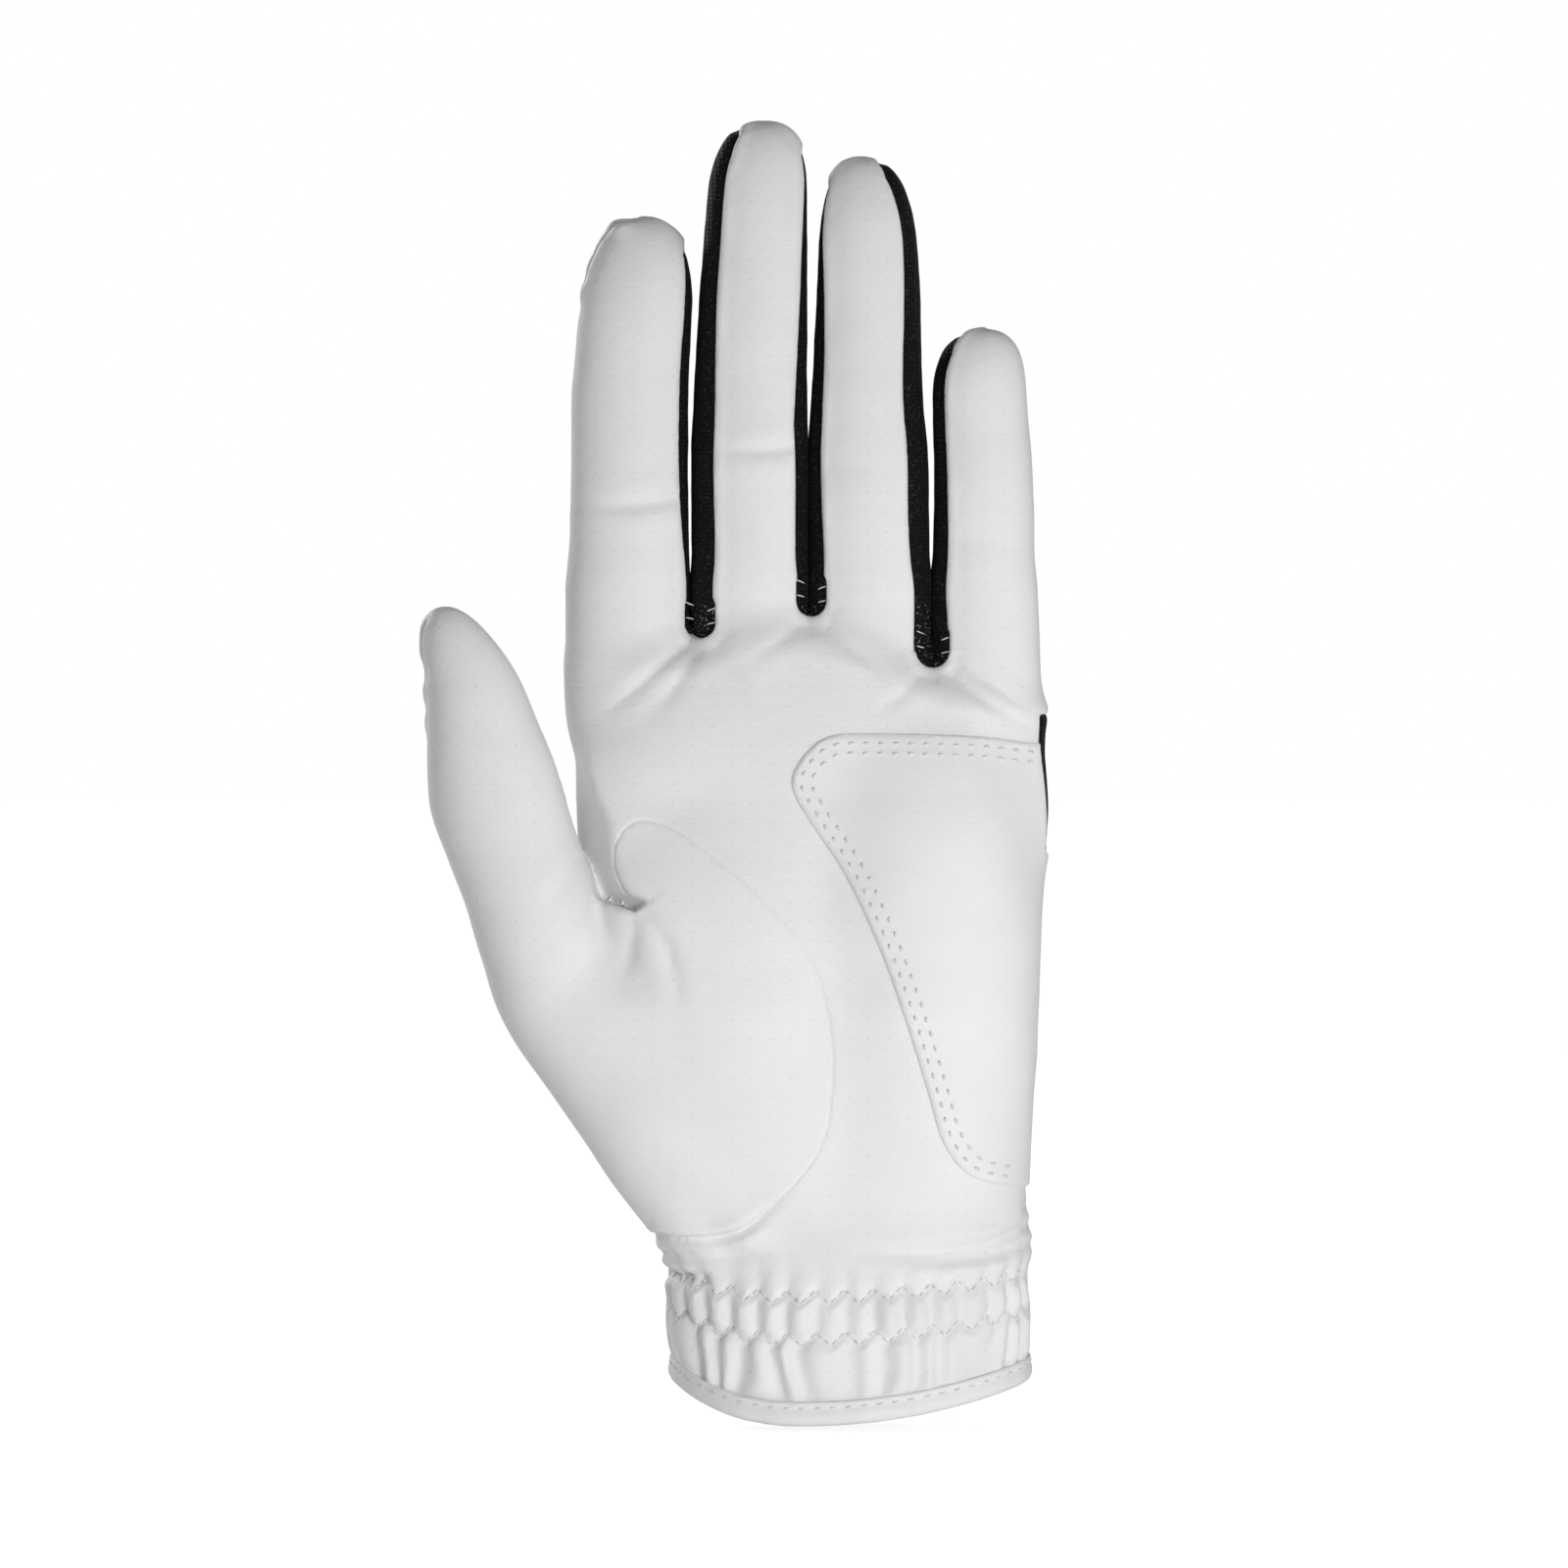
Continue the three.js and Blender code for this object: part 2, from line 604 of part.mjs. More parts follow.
// The hem's binding runs round the cuff from one side of the slit to the other.
const slitRoom = SLIT_WIDTH / 2 + 0.4;
const bindingFrom = handAngle(SLIT_X - slitRoom, BACK_HEM, 1) - 2 * Math.PI;
const bindingTo = handAngle(SLIT_X + slitRoom, BACK_HEM, 1);
const wrapped = (angle) => (angle < -Math.PI ? angle + 2 * Math.PI : angle);
const bindingLow = (angle) => hemAt(wrapped(angle));
const bindingHigh = (angle) => hemAt(wrapped(angle)) + HEM_BINDING;
const aroundHem = (low, high, lift, thickness) => handSheet(
  bindingFrom,
  bindingTo,
  low,
  high,
  lift,
  thickness,
  36,
  1,
);
add('hem_binding', aroundHem(bindingLow, bindingHigh, GAP + LEATHER, LEATHER), 'leather');

const threadHigh = (angle) => bindingHigh(angle) - HEM_THREAD_DROP;
const threadLow = (angle) => threadHigh(angle) - THREAD;
const hemLift = 2 * GAP + LEATHER + THREAD;
add('hem_stitching', aroundHem(threadLow, threadHigh, hemLift, THREAD), 'thread');

// ---------------------------------------------------------------- slit binding and closure on the back

const slitPath = [];
const slitReach = SLIT_WIDTH / 2 + 0.4 + BINDING_WIDTH / 2;
const legs = [14, 24, 36, 48, 60, SLIT_TOP - 3];
for (const z of legs) slitPath.push([SLIT_X + slitReach, z]);
for (const turn of [45, 90, 135]) {
  const angle = degToRad(turn);
  slitPath.push([SLIT_X + slitReach * Math.cos(angle), SLIT_TOP - 2 + slitReach * Math.sin(angle)]);
}
for (const z of legs.reverse()) slitPath.push([SLIT_X - slitReach, z]);
add('slit_binding', tape(slitPath, 1, GAP + 0.8, BINDING_WIDTH, 0.7, 28), 'leather');

// A sheet on the back of the hand between two x positions: its low and high edges and its lift go by x.
function backSheet(x0, x1, low, high, lift, thickness, across, along) {
  const face = (below) => (u, v) => {
    const x = lerp(x1, x0, u);
    return onHand(x, lerp(low(x), high(x), v), 1, lift(x) - below);
  };
  return sheet(face(0), face(thickness), across, along);
}

// The tab rounds off to its free end.
function tabHalf(x) {
  const full = (TAB_HIGH - TAB_LOW) / 2;
  const round = clamp((x - TAB_END_X) / TAB_ROUND, 0, 1);
  return full * lerp(TAB_BLUNT, 1, Math.sqrt(1 - (1 - round) ** 2));
}

const tabMiddle = (TAB_LOW + TAB_HIGH) / 2;
const tabLow = (inset) => (x) => tabMiddle - tabHalf(x) + inset;
const tabHigh = (inset) => (x) => tabMiddle + tabHalf(x) - inset;

const PAD_ENDS = [TAB_END_X + PAD_INSET, LOOP_PAD_SIDE, tabLow(PAD_INSET), tabHigh(PAD_INSET)];
add('loop_pad', backSheet(...PAD_ENDS, () => GAP + PAD, PAD, 6, 2), 'hook');
add('hook_pad', backSheet(...PAD_ENDS, () => TAB_LIFT - GAP, PAD, 6, 2), 'hook');

const tabTop = () => TAB_LIFT + LEATHER;
const tabEdge = TAB_HINGE_X - TAB_HINGE_GAP;
add('closure_tab', backSheet(TAB_END_X, tabEdge, tabLow(0), tabHigh(0), tabTop, LEATHER, 10, 4), 'leather');

const sewnEdge = TAB_HINGE_X + TAB_HINGE_GAP;
const sewnTop = (x) => LEATHER + lerp(TAB_LIFT, GAP, (x - sewnEdge) / TAB_SEWN);
const sewnEnd = backSheet(sewnEdge, sewnEdge + TAB_SEWN, tabLow(0), tabHigh(0), sewnTop, LEATHER, 4, 3);
add('tab_sewn_end', sewnEnd, 'leather');

const tabPath = [];
for (let x = TAB_HINGE_X - 3; x > TAB_END_X + 4; x -= 6) tabPath.push([x, tabLow(1.6)(x)]);
tabPath.push([TAB_END_X + 1.8, tabMiddle - 3], [TAB_END_X + 1.8, tabMiddle + 3]);
for (let x = TAB_END_X + 6; x < TAB_HINGE_X - 2; x += 6) tabPath.push([x, tabHigh(1.6)(x)]);
const tabThreadLift = TAB_LIFT + LEATHER + GAP + THREAD;
add('tab_stitching', tape(tabPath, 1, tabThreadLift, THREAD, THREAD, 28), 'thread');

export default glove;
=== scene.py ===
import math
import bpy
import numpy as np
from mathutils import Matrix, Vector
from mathutils.bvhtree import BVHTree


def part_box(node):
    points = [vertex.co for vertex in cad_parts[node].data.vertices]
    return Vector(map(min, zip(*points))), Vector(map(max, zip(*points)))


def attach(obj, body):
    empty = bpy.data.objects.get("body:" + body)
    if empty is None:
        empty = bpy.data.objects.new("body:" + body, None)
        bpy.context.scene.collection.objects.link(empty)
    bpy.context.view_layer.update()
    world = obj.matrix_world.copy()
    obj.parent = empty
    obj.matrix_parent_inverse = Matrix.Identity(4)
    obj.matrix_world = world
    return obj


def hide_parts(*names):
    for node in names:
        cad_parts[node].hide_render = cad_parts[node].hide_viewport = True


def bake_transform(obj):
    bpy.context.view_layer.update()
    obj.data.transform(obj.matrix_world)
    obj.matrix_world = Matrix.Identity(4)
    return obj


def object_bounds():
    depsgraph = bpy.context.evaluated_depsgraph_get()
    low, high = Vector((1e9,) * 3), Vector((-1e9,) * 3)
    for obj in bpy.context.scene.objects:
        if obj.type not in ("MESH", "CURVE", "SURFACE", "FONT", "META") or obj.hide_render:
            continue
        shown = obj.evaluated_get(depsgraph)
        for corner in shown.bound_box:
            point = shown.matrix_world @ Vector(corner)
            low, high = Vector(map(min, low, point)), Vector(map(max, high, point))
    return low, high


# A golf glove for the left hand. Shapes are worked out in millimetres and scaled to metres by put_mesh.
# The palm side follows the photograph; the back, the closure and all depths are guessed.
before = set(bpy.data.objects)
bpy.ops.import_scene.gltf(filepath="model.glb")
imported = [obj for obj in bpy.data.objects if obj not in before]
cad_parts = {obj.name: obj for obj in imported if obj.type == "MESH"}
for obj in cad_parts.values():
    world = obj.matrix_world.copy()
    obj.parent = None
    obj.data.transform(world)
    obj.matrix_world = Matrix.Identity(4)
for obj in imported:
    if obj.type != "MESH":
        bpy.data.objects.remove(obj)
cad_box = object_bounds()
MM = 0.001

# ---------------------------------------------------------------- driving dimensions, in mm

# How thick the leather and the knit are, and the step of the grid that the form is worked out on.
LEATHER = 0.8
KNIT = 0.7
VOXEL = 0.75

# The hand without its thumb: edges and faces by height, as (z, position).
HAND_LEFT = [(-6, -30), (9, -31.2), (15, -32.6), (20, -33), (36, -32.5), (50, -36), (70, -43.5), (95, -47.5),
             (107, -48.9), (120, -49.2), (133, -49.3), (150, -50.2)]
HAND_RIGHT = [(-6, 31.2), (9, 32.1), (15, 32.8), (20, 33.1), (26, 32.6), (36, 32.8), (44, 31.8),
              (62, 30.9), (80, 32.0), (98, 34.5), (105, 36.1), (112, 36.5), (125, 35.6), (133, 35.1),
              (140, 34.9), (150, 33.8)]
HAND_PALM = [(-6, -22.2), (0, -22), (20, -21.5), (36, -19.5), (55, -20), (80, -19), (105, -16.5), (125, -14),
             (140, -11.5), (150, -10)]
HAND_BACK = [(-6, 22.2), (0, 22), (20, 20.5), (36, 17.5), (55, 17), (80, 16.5), (105, 15.5), (125, 13.5),
             (140, 11.5), (150, 10)]
HAND_POWER = 2.4
HAND_TOP_ROUND = 8.0
# Two bulges of the palm: centre as (x, y, z), then half sizes as (width, depth, height).
THENAR = ((-24.5, -9, 69), (22.0, 12.6, 36))
OUTER_BULGE = ((15, -8, 78), (16.5, 12.6, 42))
BULGE_BLEND = 9

FINGER_POWER = 2.2
DOME_POWER = 2.6
FINGER_BLEND = 4.5
FAN = 0.14
FAN_START = 138.0
FINGER_ROOT = 150.0

# Each finger: centre and half width by height, half depth at root and tip, dome height, and its share
# of the fan, which holds the fingers apart while the surface is made.
FINGERS = {
    "index": dict(centre=[(150, -39.6), (160, -39.4), (186, -39.3), (204, -38.1), (218, -37.2)],
                  half=[(130, 10.9), (150, 11.6), (155, 11.3), (162, 10.85), (186, 10.6), (205, 10.3)],
                  depth=(9.0, 8.2), dome=19, fan=-1.5),
    "middle": dict(centre=[(150, -17.75), (186, -17.6), (222, -16.2), (235, -15.4)],
                   half=[(130, 10.4), (150, 11.05), (157, 10.7), (174, 10.75), (186, 10.35), (205, 9.9),
                         (222, 9.3)],
                   depth=(9.2, 8.2), dome=16, fan=-0.5),
    "ring": dict(centre=[(150, 3.95), (160, 3.75), (176, 3.6), (186, 3.5), (205, 3.7), (222, 3.2),
                         (229, 2.8)],
                 half=[(130, 10.8), (150, 11.5), (157, 11.15), (174, 11.05), (186, 10.15), (205, 9.5),
                       (222, 8.9)],
                 depth=(8.8, 7.9), dome=19, fan=0.5),
    "little": dict(centre=[(128, 25.0), (140, 24.75), (150, 24.45), (170, 24.4), (186, 23.7), (198, 24.1)],
                   half=[(128, 10.2), (140, 9.95), (150, 9.85), (157, 9.2), (170, 8.85), (186, 8.4)],
                   depth=(7.9, 7.2), dome=13, fan=1.5),
}
NAMES = list(FINGERS)

# The webs between the fingers: the tongue's place across the hand, the line where the fingers meet,
# where the black starts on the palm side, the top of the saddle, and the tongue's half width.
WEBS = [
    dict(name="index_middle", x=-26.6, contact=-28.4, start=142.0, saddle=142.4, half=2.45),
    dict(name="middle_ring", x=-6.6, contact=-7.1, start=146.0, saddle=145.6, half=2.45),
    dict(name="ring_little", x=15.3, contact=15.0, start=136.8, saddle=137.4, half=2.75),
]

# The thumb, along its own axis.
THUMB_START = np.array([-62.0, -6.0, 107.0])
THUMB_LEAN = math.radians(15.4)
THUMB_HALF = [(-80, 3), (-69, 4.8), (-61, 6.8), (-53, 9), (-45, 10.8), (-37, 11.9), (-31, 12.2),
              (-21, 11.8), (-12, 11.8), (-3, 11.7), (5, 12.0), (9.5, 11.7), (20, 9.8), (28.5, 8.5),
              (36, 7.8), (42.4, 7.6)]
THUMB_SHIFT = [(-80, 0), (-31, 0), (-21, 0.65), (-12, 1.1), (-3, 0.65), (5, 0.2), (9.5, 0.25), (20, 1.0),
               (28.5, 1.3), (36, 0.5), (42.4, -0.7)]
THUMB_DEPTH = [(-80, 8), (-60, 9.5), (-30, 12.3), (0, 11.5), (20, 10), (42.4, 8.6)]
THUMB_FORWARD = [(-80, 1), (-50, 0), (-20, -2.5), (0, -3), (42.4, -3)]
THUMB_CURVE = 0.0028
THUMB_TIP = 42.0
THUMB_DOME = 22.0
THUMB_DOME_POWER = 2.3

# The thumb's inset seam on the palm side, as (x, z), from the fold at the crotch round to the heel.
INSET = [(-37.8, 93.2), (-40.6, 97), (-42, 101), (-41.6, 105), (-39.4, 108), (-36.2, 109), (-30.5, 107),
         (-25.5, 103.6), (-16.3, 96), (-10.2, 89.3), (-5.6, 81.3), (-3.1, 70), (-3.1, 59.8), (-4.6, 51.6),
         (-9.2, 44.5), (-18.3, 36.4), (-25.5, 34.4), (-33.6, 34.6), (-60, 36), (-90, 60), (-90, 92)]

# The patch on the heel of the hand: its outline on the palm side, as (x, z).
PATCH = [(60, 121.5), (35, 122.8), (23, 124), (3, 124.5), (-3.2, 124), (-6.9, 121.7), (-9.8, 117.4),
         (-9.6, 113.6), (-6.2, 107.9), (-0.5, 99.3), (5.1, 87.5), (9.8, 74.7), (14.2, 60.5), (16.9, 51.6),
         (21.3, 45.8), (27.5, 43.6), (35, 42.8), (60, 42.5)]
PATCH_LIFT = 0.75
PATCH_BACK = 3.0

# The stretch insert over the knuckles, on the back and the outer edge.
INSERT = [(-34, 115), (-22, 120.5), (-2, 124.5), (20, 127), (60, 127), (60, 105), (20, 106), (0, 107.5),
          (-22, 110.5)]
INSERT_FRONT = -5.0

SLIT_X = -2.0
SLIT_HALF = 1.5
SLIT_TOP = 74.0
BACK_HEM = 9.0
HEM_LOW = 1.4
CUFF_BINDING_IN = 0.8

ZIGZAG_PITCH = 5.2
ZIGZAG_TOOTH = 2.5
ZIGZAG_ROWS = [(23.0, 0.52), (15.3, 0.65)]

# ---------------------------------------------------------------- small helpers


def through(stations, x):
    """A smooth value through (position, value) stations."""
    s = np.array(stations, float)
    x = np.clip(np.asarray(x, float), s[0, 0], s[-1, 0])
    slope = np.empty(len(s))
    slope[1:-1] = (s[2:, 1] - s[:-2, 1]) / (s[2:, 0] - s[:-2, 0])
    slope[0] = (s[1, 1] - s[0, 1]) / (s[1, 0] - s[0, 0])
    slope[-1] = (s[-1, 1] - s[-2, 1]) / (s[-1, 0] - s[-2, 0])
    k = np.clip(np.searchsorted(s[:, 0], x, side="right") - 1, 0, len(s) - 2)
    run = s[k + 1, 0] - s[k, 0]
    t = (x - s[k, 0]) / run
    start = (2 * t - 3) * t * t + 1
    rise = ((t - 2) * t + 1) * t * run * slope[k] + (t - 1) * t * t * run * slope[k + 1]
    return start * s[k, 1] + (1 - start) * s[k + 1, 1] + rise


def smooth_step(x, low, high):
    t = np.clip((x - low) / (high - low), 0, 1)
    return t * t * (3 - 2 * t)


def smooth_min(a, b, k):
    h = np.clip(0.5 + 0.5 * (b - a) / k, 0, 1)
    return b + (a - b) * h - k * h * (1 - h)


def polyline_distance(px, pz, points, closed=False):
    """Distance from points (px, pz) to a polyline, and how far along it the nearest place is, from 0 to 1."""
    line = np.array(points + points[:1] if closed else points, float)
    length = np.concatenate([[0], np.cumsum(np.linalg.norm(np.diff(line, axis=0), axis=1))])
    best = np.full(px.shape, 1e9)
    where = np.zeros(px.shape)
    for k in range(len(line) - 1):
        a, b = line[k], line[k + 1]
        d = b - a
        t = np.clip(((px - a[0]) * d[0] + (pz - a[1]) * d[1]) / (d @ d), 0, 1)
        dist = np.hypot(px - a[0] - t * d[0], pz - a[1] - t * d[1])
        near = dist < best
        best = np.where(near, dist, best)
        where = np.where(near, length[k] + t * (length[k + 1] - length[k]), where)
    return best, where / length[-1]


def inside_polygon(px, pz, points):
    inside = np.zeros(px.shape, bool)
    n = len(points)
    for k in range(n):
        (x0, z0), (x1, z1) = points[k], points[(k + 1) % n]
        if z0 == z1:
            continue
        crosses = (z0 > pz) != (z1 > pz)
        at = x0 + (pz - z0) * (x1 - x0) / (z1 - z0)
        inside ^= crosses & (px < at)
    return inside


def polygon_field(px, pz, points):
    """Signed distance to a closed outline, above 0 inside."""
    dist, _ = polyline_distance(px, pz, points, closed=True)
    return np.where(inside_polygon(px, pz, points), dist, -dist)


def smooth_outline(points, each=6):
    """A Catmull-Rom curve through points, with each steps between two of them."""
    p = np.array([points[0]] + list(points) + [points[-1]], float)
    out = []
    for k in range(1, len(p) - 2):
        for t in np.linspace(0, 1, each, endpoint=False):
            a, b, c, d = p[k - 1], p[k], p[k + 1], p[k + 2]
            out.append(0.5 * (2 * b + (c - a) * t + (2 * a - 5 * b + 4 * c - d) * t * t
                              + (3 * b - a - 3 * c + d) * t ** 3))
    out.append(p[-2])
    return [tuple(q) for q in out]


# ---------------------------------------------------------------- the form as distances


def rounded_distance(dx, dy, w, d, q, height, power, cap_power):
    """Distance to a rounded section of half sizes w and d, closed by a dome where q rises above 0."""
    u, v = np.abs(dx) / w, np.abs(dy) / d
    r = np.maximum(u ** power + v ** power, 1e-9) ** (1 / power)
    q = np.maximum(q, 0)
    s = np.maximum(r ** cap_power + q ** cap_power, 1e-9) ** (1 / cap_power)
    to_r = (r / s) ** (cap_power - 1)
    to_q = (q / s) ** (cap_power - 1)
    slope = np.sqrt((to_r * (u / r) ** (power - 1) / w) ** 2 + (to_r * (v / r) ** (power - 1) / d) ** 2
                    + (to_q / height) ** 2)
    return (s - 1) / np.maximum(slope, 1e-6)


SADDLE_LINE = [(-60, 143), (-40, 143.5), (WEBS[0]["contact"], WEBS[0]["saddle"]), (-17.7, 146),
               (WEBS[1]["contact"], WEBS[1]["saddle"]), (4, 143), (WEBS[2]["contact"], WEBS[2]["saddle"]),
               (25, 136), (40, 135)]


def hand_section(z):
    left, right = through(HAND_LEFT, z), through(HAND_RIGHT, z)
    palm, back = through(HAND_PALM, z), through(HAND_BACK, z)
    return (left + right) / 2, (right - left) / 2, (palm + back) / 2, (back - palm) / 2


# The side wall of the hand behind the thumb: its width seen from the front by height, and its floor by x.
WALL_BACK = (-49.4, -1.0)
WALL_RUN = 13.0
WALL_WIDTH = [(80, 12), (93.2, 11.2), (96, 8.6), (99.5, 7.2), (109.3, 6.2), (117, 3.4), (125.5, 0.9),
              (136, -2), (150, -4)]
WALL_FLOOR = [(-60, 101), (-49, 97.5), (-44.9, 94.8), (-38.2, 92.6), (-34, 96), (-20, 120)]
SHOULDER = 2.6


def side_wall(x, y, z):
    """Above 0 in the space that the side wall leaves beside the thumb."""
    forward = np.clip((WALL_BACK[1] - y) / WALL_RUN, 0, 1.3)
    beside = (WALL_BACK[0] + through(WALL_WIDTH, z) * forward - x) * 0.88
    return np.minimum(beside, (z - np.interp(x, *np.array(WALL_FLOOR).T)) * 0.9)


def palm_distance(x, y, z):
    cx, w, cy, d = hand_section(z)
    top = through(SADDLE_LINE, x)
    q = (z - top + HAND_TOP_ROUND) / HAND_TOP_ROUND
    square = SHOULDER * smooth_step(-x, 12, 40) * smooth_step(z, 84, 98) * (1 - smooth_step(z, 114, 134))
    whole = rounded_distance(x - cx, y - cy, w, d, q, HAND_TOP_ROUND, HAND_POWER + square * (y < cy), 2.0)
    for (at_x, at_y, at_z), (wide, deep, tall) in (THENAR, OUTER_BULGE):
        bulge = rounded_distance(x - at_x, y - at_y, wide, deep, np.abs(z - at_z) / tall, tall, 2.2, 2.2)
        whole = smooth_min(whole, bulge, BULGE_BLEND)
    return -smooth_min(-whole, -side_wall(x, y, z), 1.2)


def finger_tip(name):
    return max(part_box(f"{name}_finger_tip_{side}")[1].z for side in ("palm_side", "back")) / MM


TIPS = {name: finger_tip(name) for name in NAMES}


def finger_distance(name, x, y, z):
    f = FINGERS[name]
    tip = TIPS[name]
    run = np.clip((z - FINGER_ROOT) / (tip - FINGER_ROOT), 0, 1)
    depth = f["depth"][0] + (f["depth"][1] - f["depth"][0]) * run
    q = np.maximum((z - tip + f["dome"]) / f["dome"], (132 - z) / 12)
    return rounded_distance(x - through(f["centre"], z), y, through(f["half"], z), depth, q, f["dome"],
                            FINGER_POWER, DOME_POWER)


THUMB_SIDE = np.array([math.cos(THUMB_LEAN), 0, math.sin(THUMB_LEAN)])
THUMB_UP = np.array([-math.sin(THUMB_LEAN), 0, math.cos(THUMB_LEAN)])


def thumb_frame(x, y, z):
    dx, dy, dz = x - THUMB_START[0], y - THUMB_START[1], z - THUMB_START[2]
    length = dx * THUMB_UP[0] + dz * THUMB_UP[2]
    side = dx * THUMB_SIDE[0] + dz * THUMB_SIDE[2] - THUMB_CURVE * np.minimum(length, 0) ** 2
    side = side - through(THUMB_SHIFT, length)
    return side, dy - through(THUMB_FORWARD, length), length


def thumb_distance(x, y, z):
    side, deep, length = thumb_frame(x, y, z)
    q = np.maximum((length - THUMB_TIP + THUMB_DOME) / THUMB_DOME, (-68 - length) / 12)
    half, depth = through(THUMB_HALF, length), through(THUMB_DEPTH, length)
    return rounded_distance(side, deep, half, depth, q, THUMB_DOME, FINGER_POWER, THUMB_DOME_POWER)


def thumb_blend(z):
    return 1.6 + 10.4 * smooth_step(z, 94, 70)


def fan_ramp(z):
    return FAN * np.maximum(z - FAN_START, 0)


def fan_between(x):
    """The palm's share of the fan, which runs evenly across the fingers' roots."""
    return np.interp(x, [-39.7, -17.7, 3.9, 24.5], [-1.5, -0.5, 0.5, 1.5])


def form_grid():
    """The whole form on a grid, with the fingers fanned apart so that the gaps between them are open."""
    low = np.array([-96.0, -27.0, -4.0])
    high = np.array([56.0, 27.0, 239.0])
    size = np.ceil((high - low) / VOXEL).astype(int) + 1
    axes = [low[k] + VOXEL * np.arange(size[k]) for k in range(3)]
    field = np.full(size, 30.0)

    def window(x0, x1, z0, z1):
        i = slice(*np.searchsorted(axes[0], [x0, x1]))
        k = slice(*np.searchsorted(axes[2], [z0, z1]))
        return i, k, axes[0][i][:, None, None], axes[1][None, :, None], axes[2][k][None, None, :]

    i, k, x, y, z = window(-60, 46, -5, 156)
    field[i, :, k] = palm_distance(x - fan_between(x) * fan_ramp(z), y, z)
    palm_only = field.copy()
    for name in NAMES:
        f = FINGERS[name]
        mid = f["centre"][0][1]
        out = f["fan"] * FAN * 100
        i, k, x, y, z = window(mid - 22 + min(out, 0), mid + 22 + max(out, 0), 116, TIPS[name] + 6)
        finger = finger_distance(name, x - f["fan"] * fan_ramp(z), y, z)
        field[i, :, k] = np.minimum(field[i, :, k], smooth_min(palm_only[i, :, k], finger, FINGER_BLEND))
    i, k, x, y, z = window(-96, 0, 24, 156)
    thumb = thumb_distance(x, y, z)
    field[i, :, k] = smooth_min(field[i, :, k], thumb, thumb_blend(z))
    return field, axes


def surface_net(field, axes):
    """Vertices and triangles of the field's zero surface, facing out."""
    inside = field < 0
    n = np.array(field.shape)
    corners = [(a, b, c) for a in (0, 1) for b in (0, 1) for c in (0, 1)]
    count = sum(inside[a:n[0] - 1 + a, b:n[1] - 1 + b, c:n[2] - 1 + c].astype(np.int8)
                for a, b, c in corners)
    cells = np.argwhere((count > 0) & (count < 8))
    index = np.full(n - 1, -1, np.int64)
    index[tuple(cells.T)] = np.arange(len(cells))
    total = np.zeros((len(cells), 3))
    hits = np.zeros(len(cells))
    values = {c: field[cells[:, 0] + c[0], cells[:, 1] + c[1], cells[:, 2] + c[2]] for c in corners}
    for a in corners:
        for axis in range(3):
            if a[axis]:
                continue
            b = tuple(1 if k == axis else a[k] for k in range(3))
            fa, fb = values[a], values[b]
            cross = (fa < 0) != (fb < 0)
            t = np.where(cross, fa / np.where(cross, fa - fb, 1), 0)
            point = np.repeat(np.array(a, float)[None], len(cells), 0)
            point[:, axis] += t
            total += np.where(cross[:, None], point, 0)
            hits += cross
    origin = np.array([axis[0] for axis in axes])
    vertices = origin + VOXEL * (cells + total / hits[:, None])
    faces = []
    for axis in range(3):
        step = np.zeros(3, int)
        step[axis] = 1
        u, v = [k for k in range(3) if k != axis]
        first = inside[:n[0] - step[0], :n[1] - step[1], :n[2] - step[2]]
        second = inside[step[0]:, step[1]:, step[2]:]
        edges = np.argwhere(first != second)
        below_top = (edges[:, u] < n[u] - 1) & (edges[:, v] < n[v] - 1)
        edges = edges[(edges[:, u] > 0) & (edges[:, v] > 0) & below_top]
        flip = inside[tuple(edges.T)]
        quad = []
        for du, dv in ((1, 1), (0, 1), (0, 0), (1, 0)):
            cell = edges.copy()
            cell[:, u] -= du
            cell[:, v] -= dv
            quad.append(index[tuple(cell.T)])
        quad = np.stack(quad, 1)
        if axis == 1:
            flip = ~flip
        quad = np.where(flip[:, None], quad, quad[:, ::-1])
        faces.append(quad)
    quads = np.concatenate(faces)
    quads = quads[(quads >= 0).all(1)]
    triangles = np.concatenate([quads[:, [0, 1, 2]], quads[:, [0, 2, 3]]])
    return vertices, triangles


def member_of(x, z):
    """Which finger a fanned x belongs to, by the lines where the fingers meet."""
    ramp = fan_ramp(z)
    lines = [w["contact"] + share * ramp for w, share in zip(WEBS, (-1, 0, 1))]
    return (x > lines[0]).astype(int) + (x > lines[1]) + (x > lines[2])


def form_distance(x, y, z, member):
    """Distance to the form with the fingers back together. A point sees only its own finger."""
    palm = palm_distance(x, y, z)
    out = palm.copy()
    for k, name in enumerate(NAMES):
        mine = (member == k) & (z > 112)
        if mine.any():
            finger = finger_distance(name, x[mine], y[mine], z[mine])
            out[mine] = smooth_min(palm[mine], finger, FINGER_BLEND)
    near = (x < 5) & (z < 156)
    thumb = thumb_distance(x[near], y[near], z[near])
    out[near] = smooth_min(out[near], thumb, thumb_blend(z[near]))
    return out


def settle(points, member, steps=3):
    """Moves points onto the form."""
    for _ in range(steps):
        value = form_distance(*points.T, member)
        gradient = np.empty_like(points)
        for axis in range(3):
            ahead, behind = points.copy(), points.copy()
            ahead[:, axis] += 0.05
            behind[:, axis] -= 0.05
            gradient[:, axis] = (form_distance(*ahead.T, member) - form_distance(*behind.T, member)) / 0.1
        norm = np.maximum((gradient ** 2).sum(1), 0.25)
        points = points - gradient * np.clip(value / norm, -1.5, 1.5)[:, None]
    return points


# ---------------------------------------------------------------- the triangle surface and cutting it


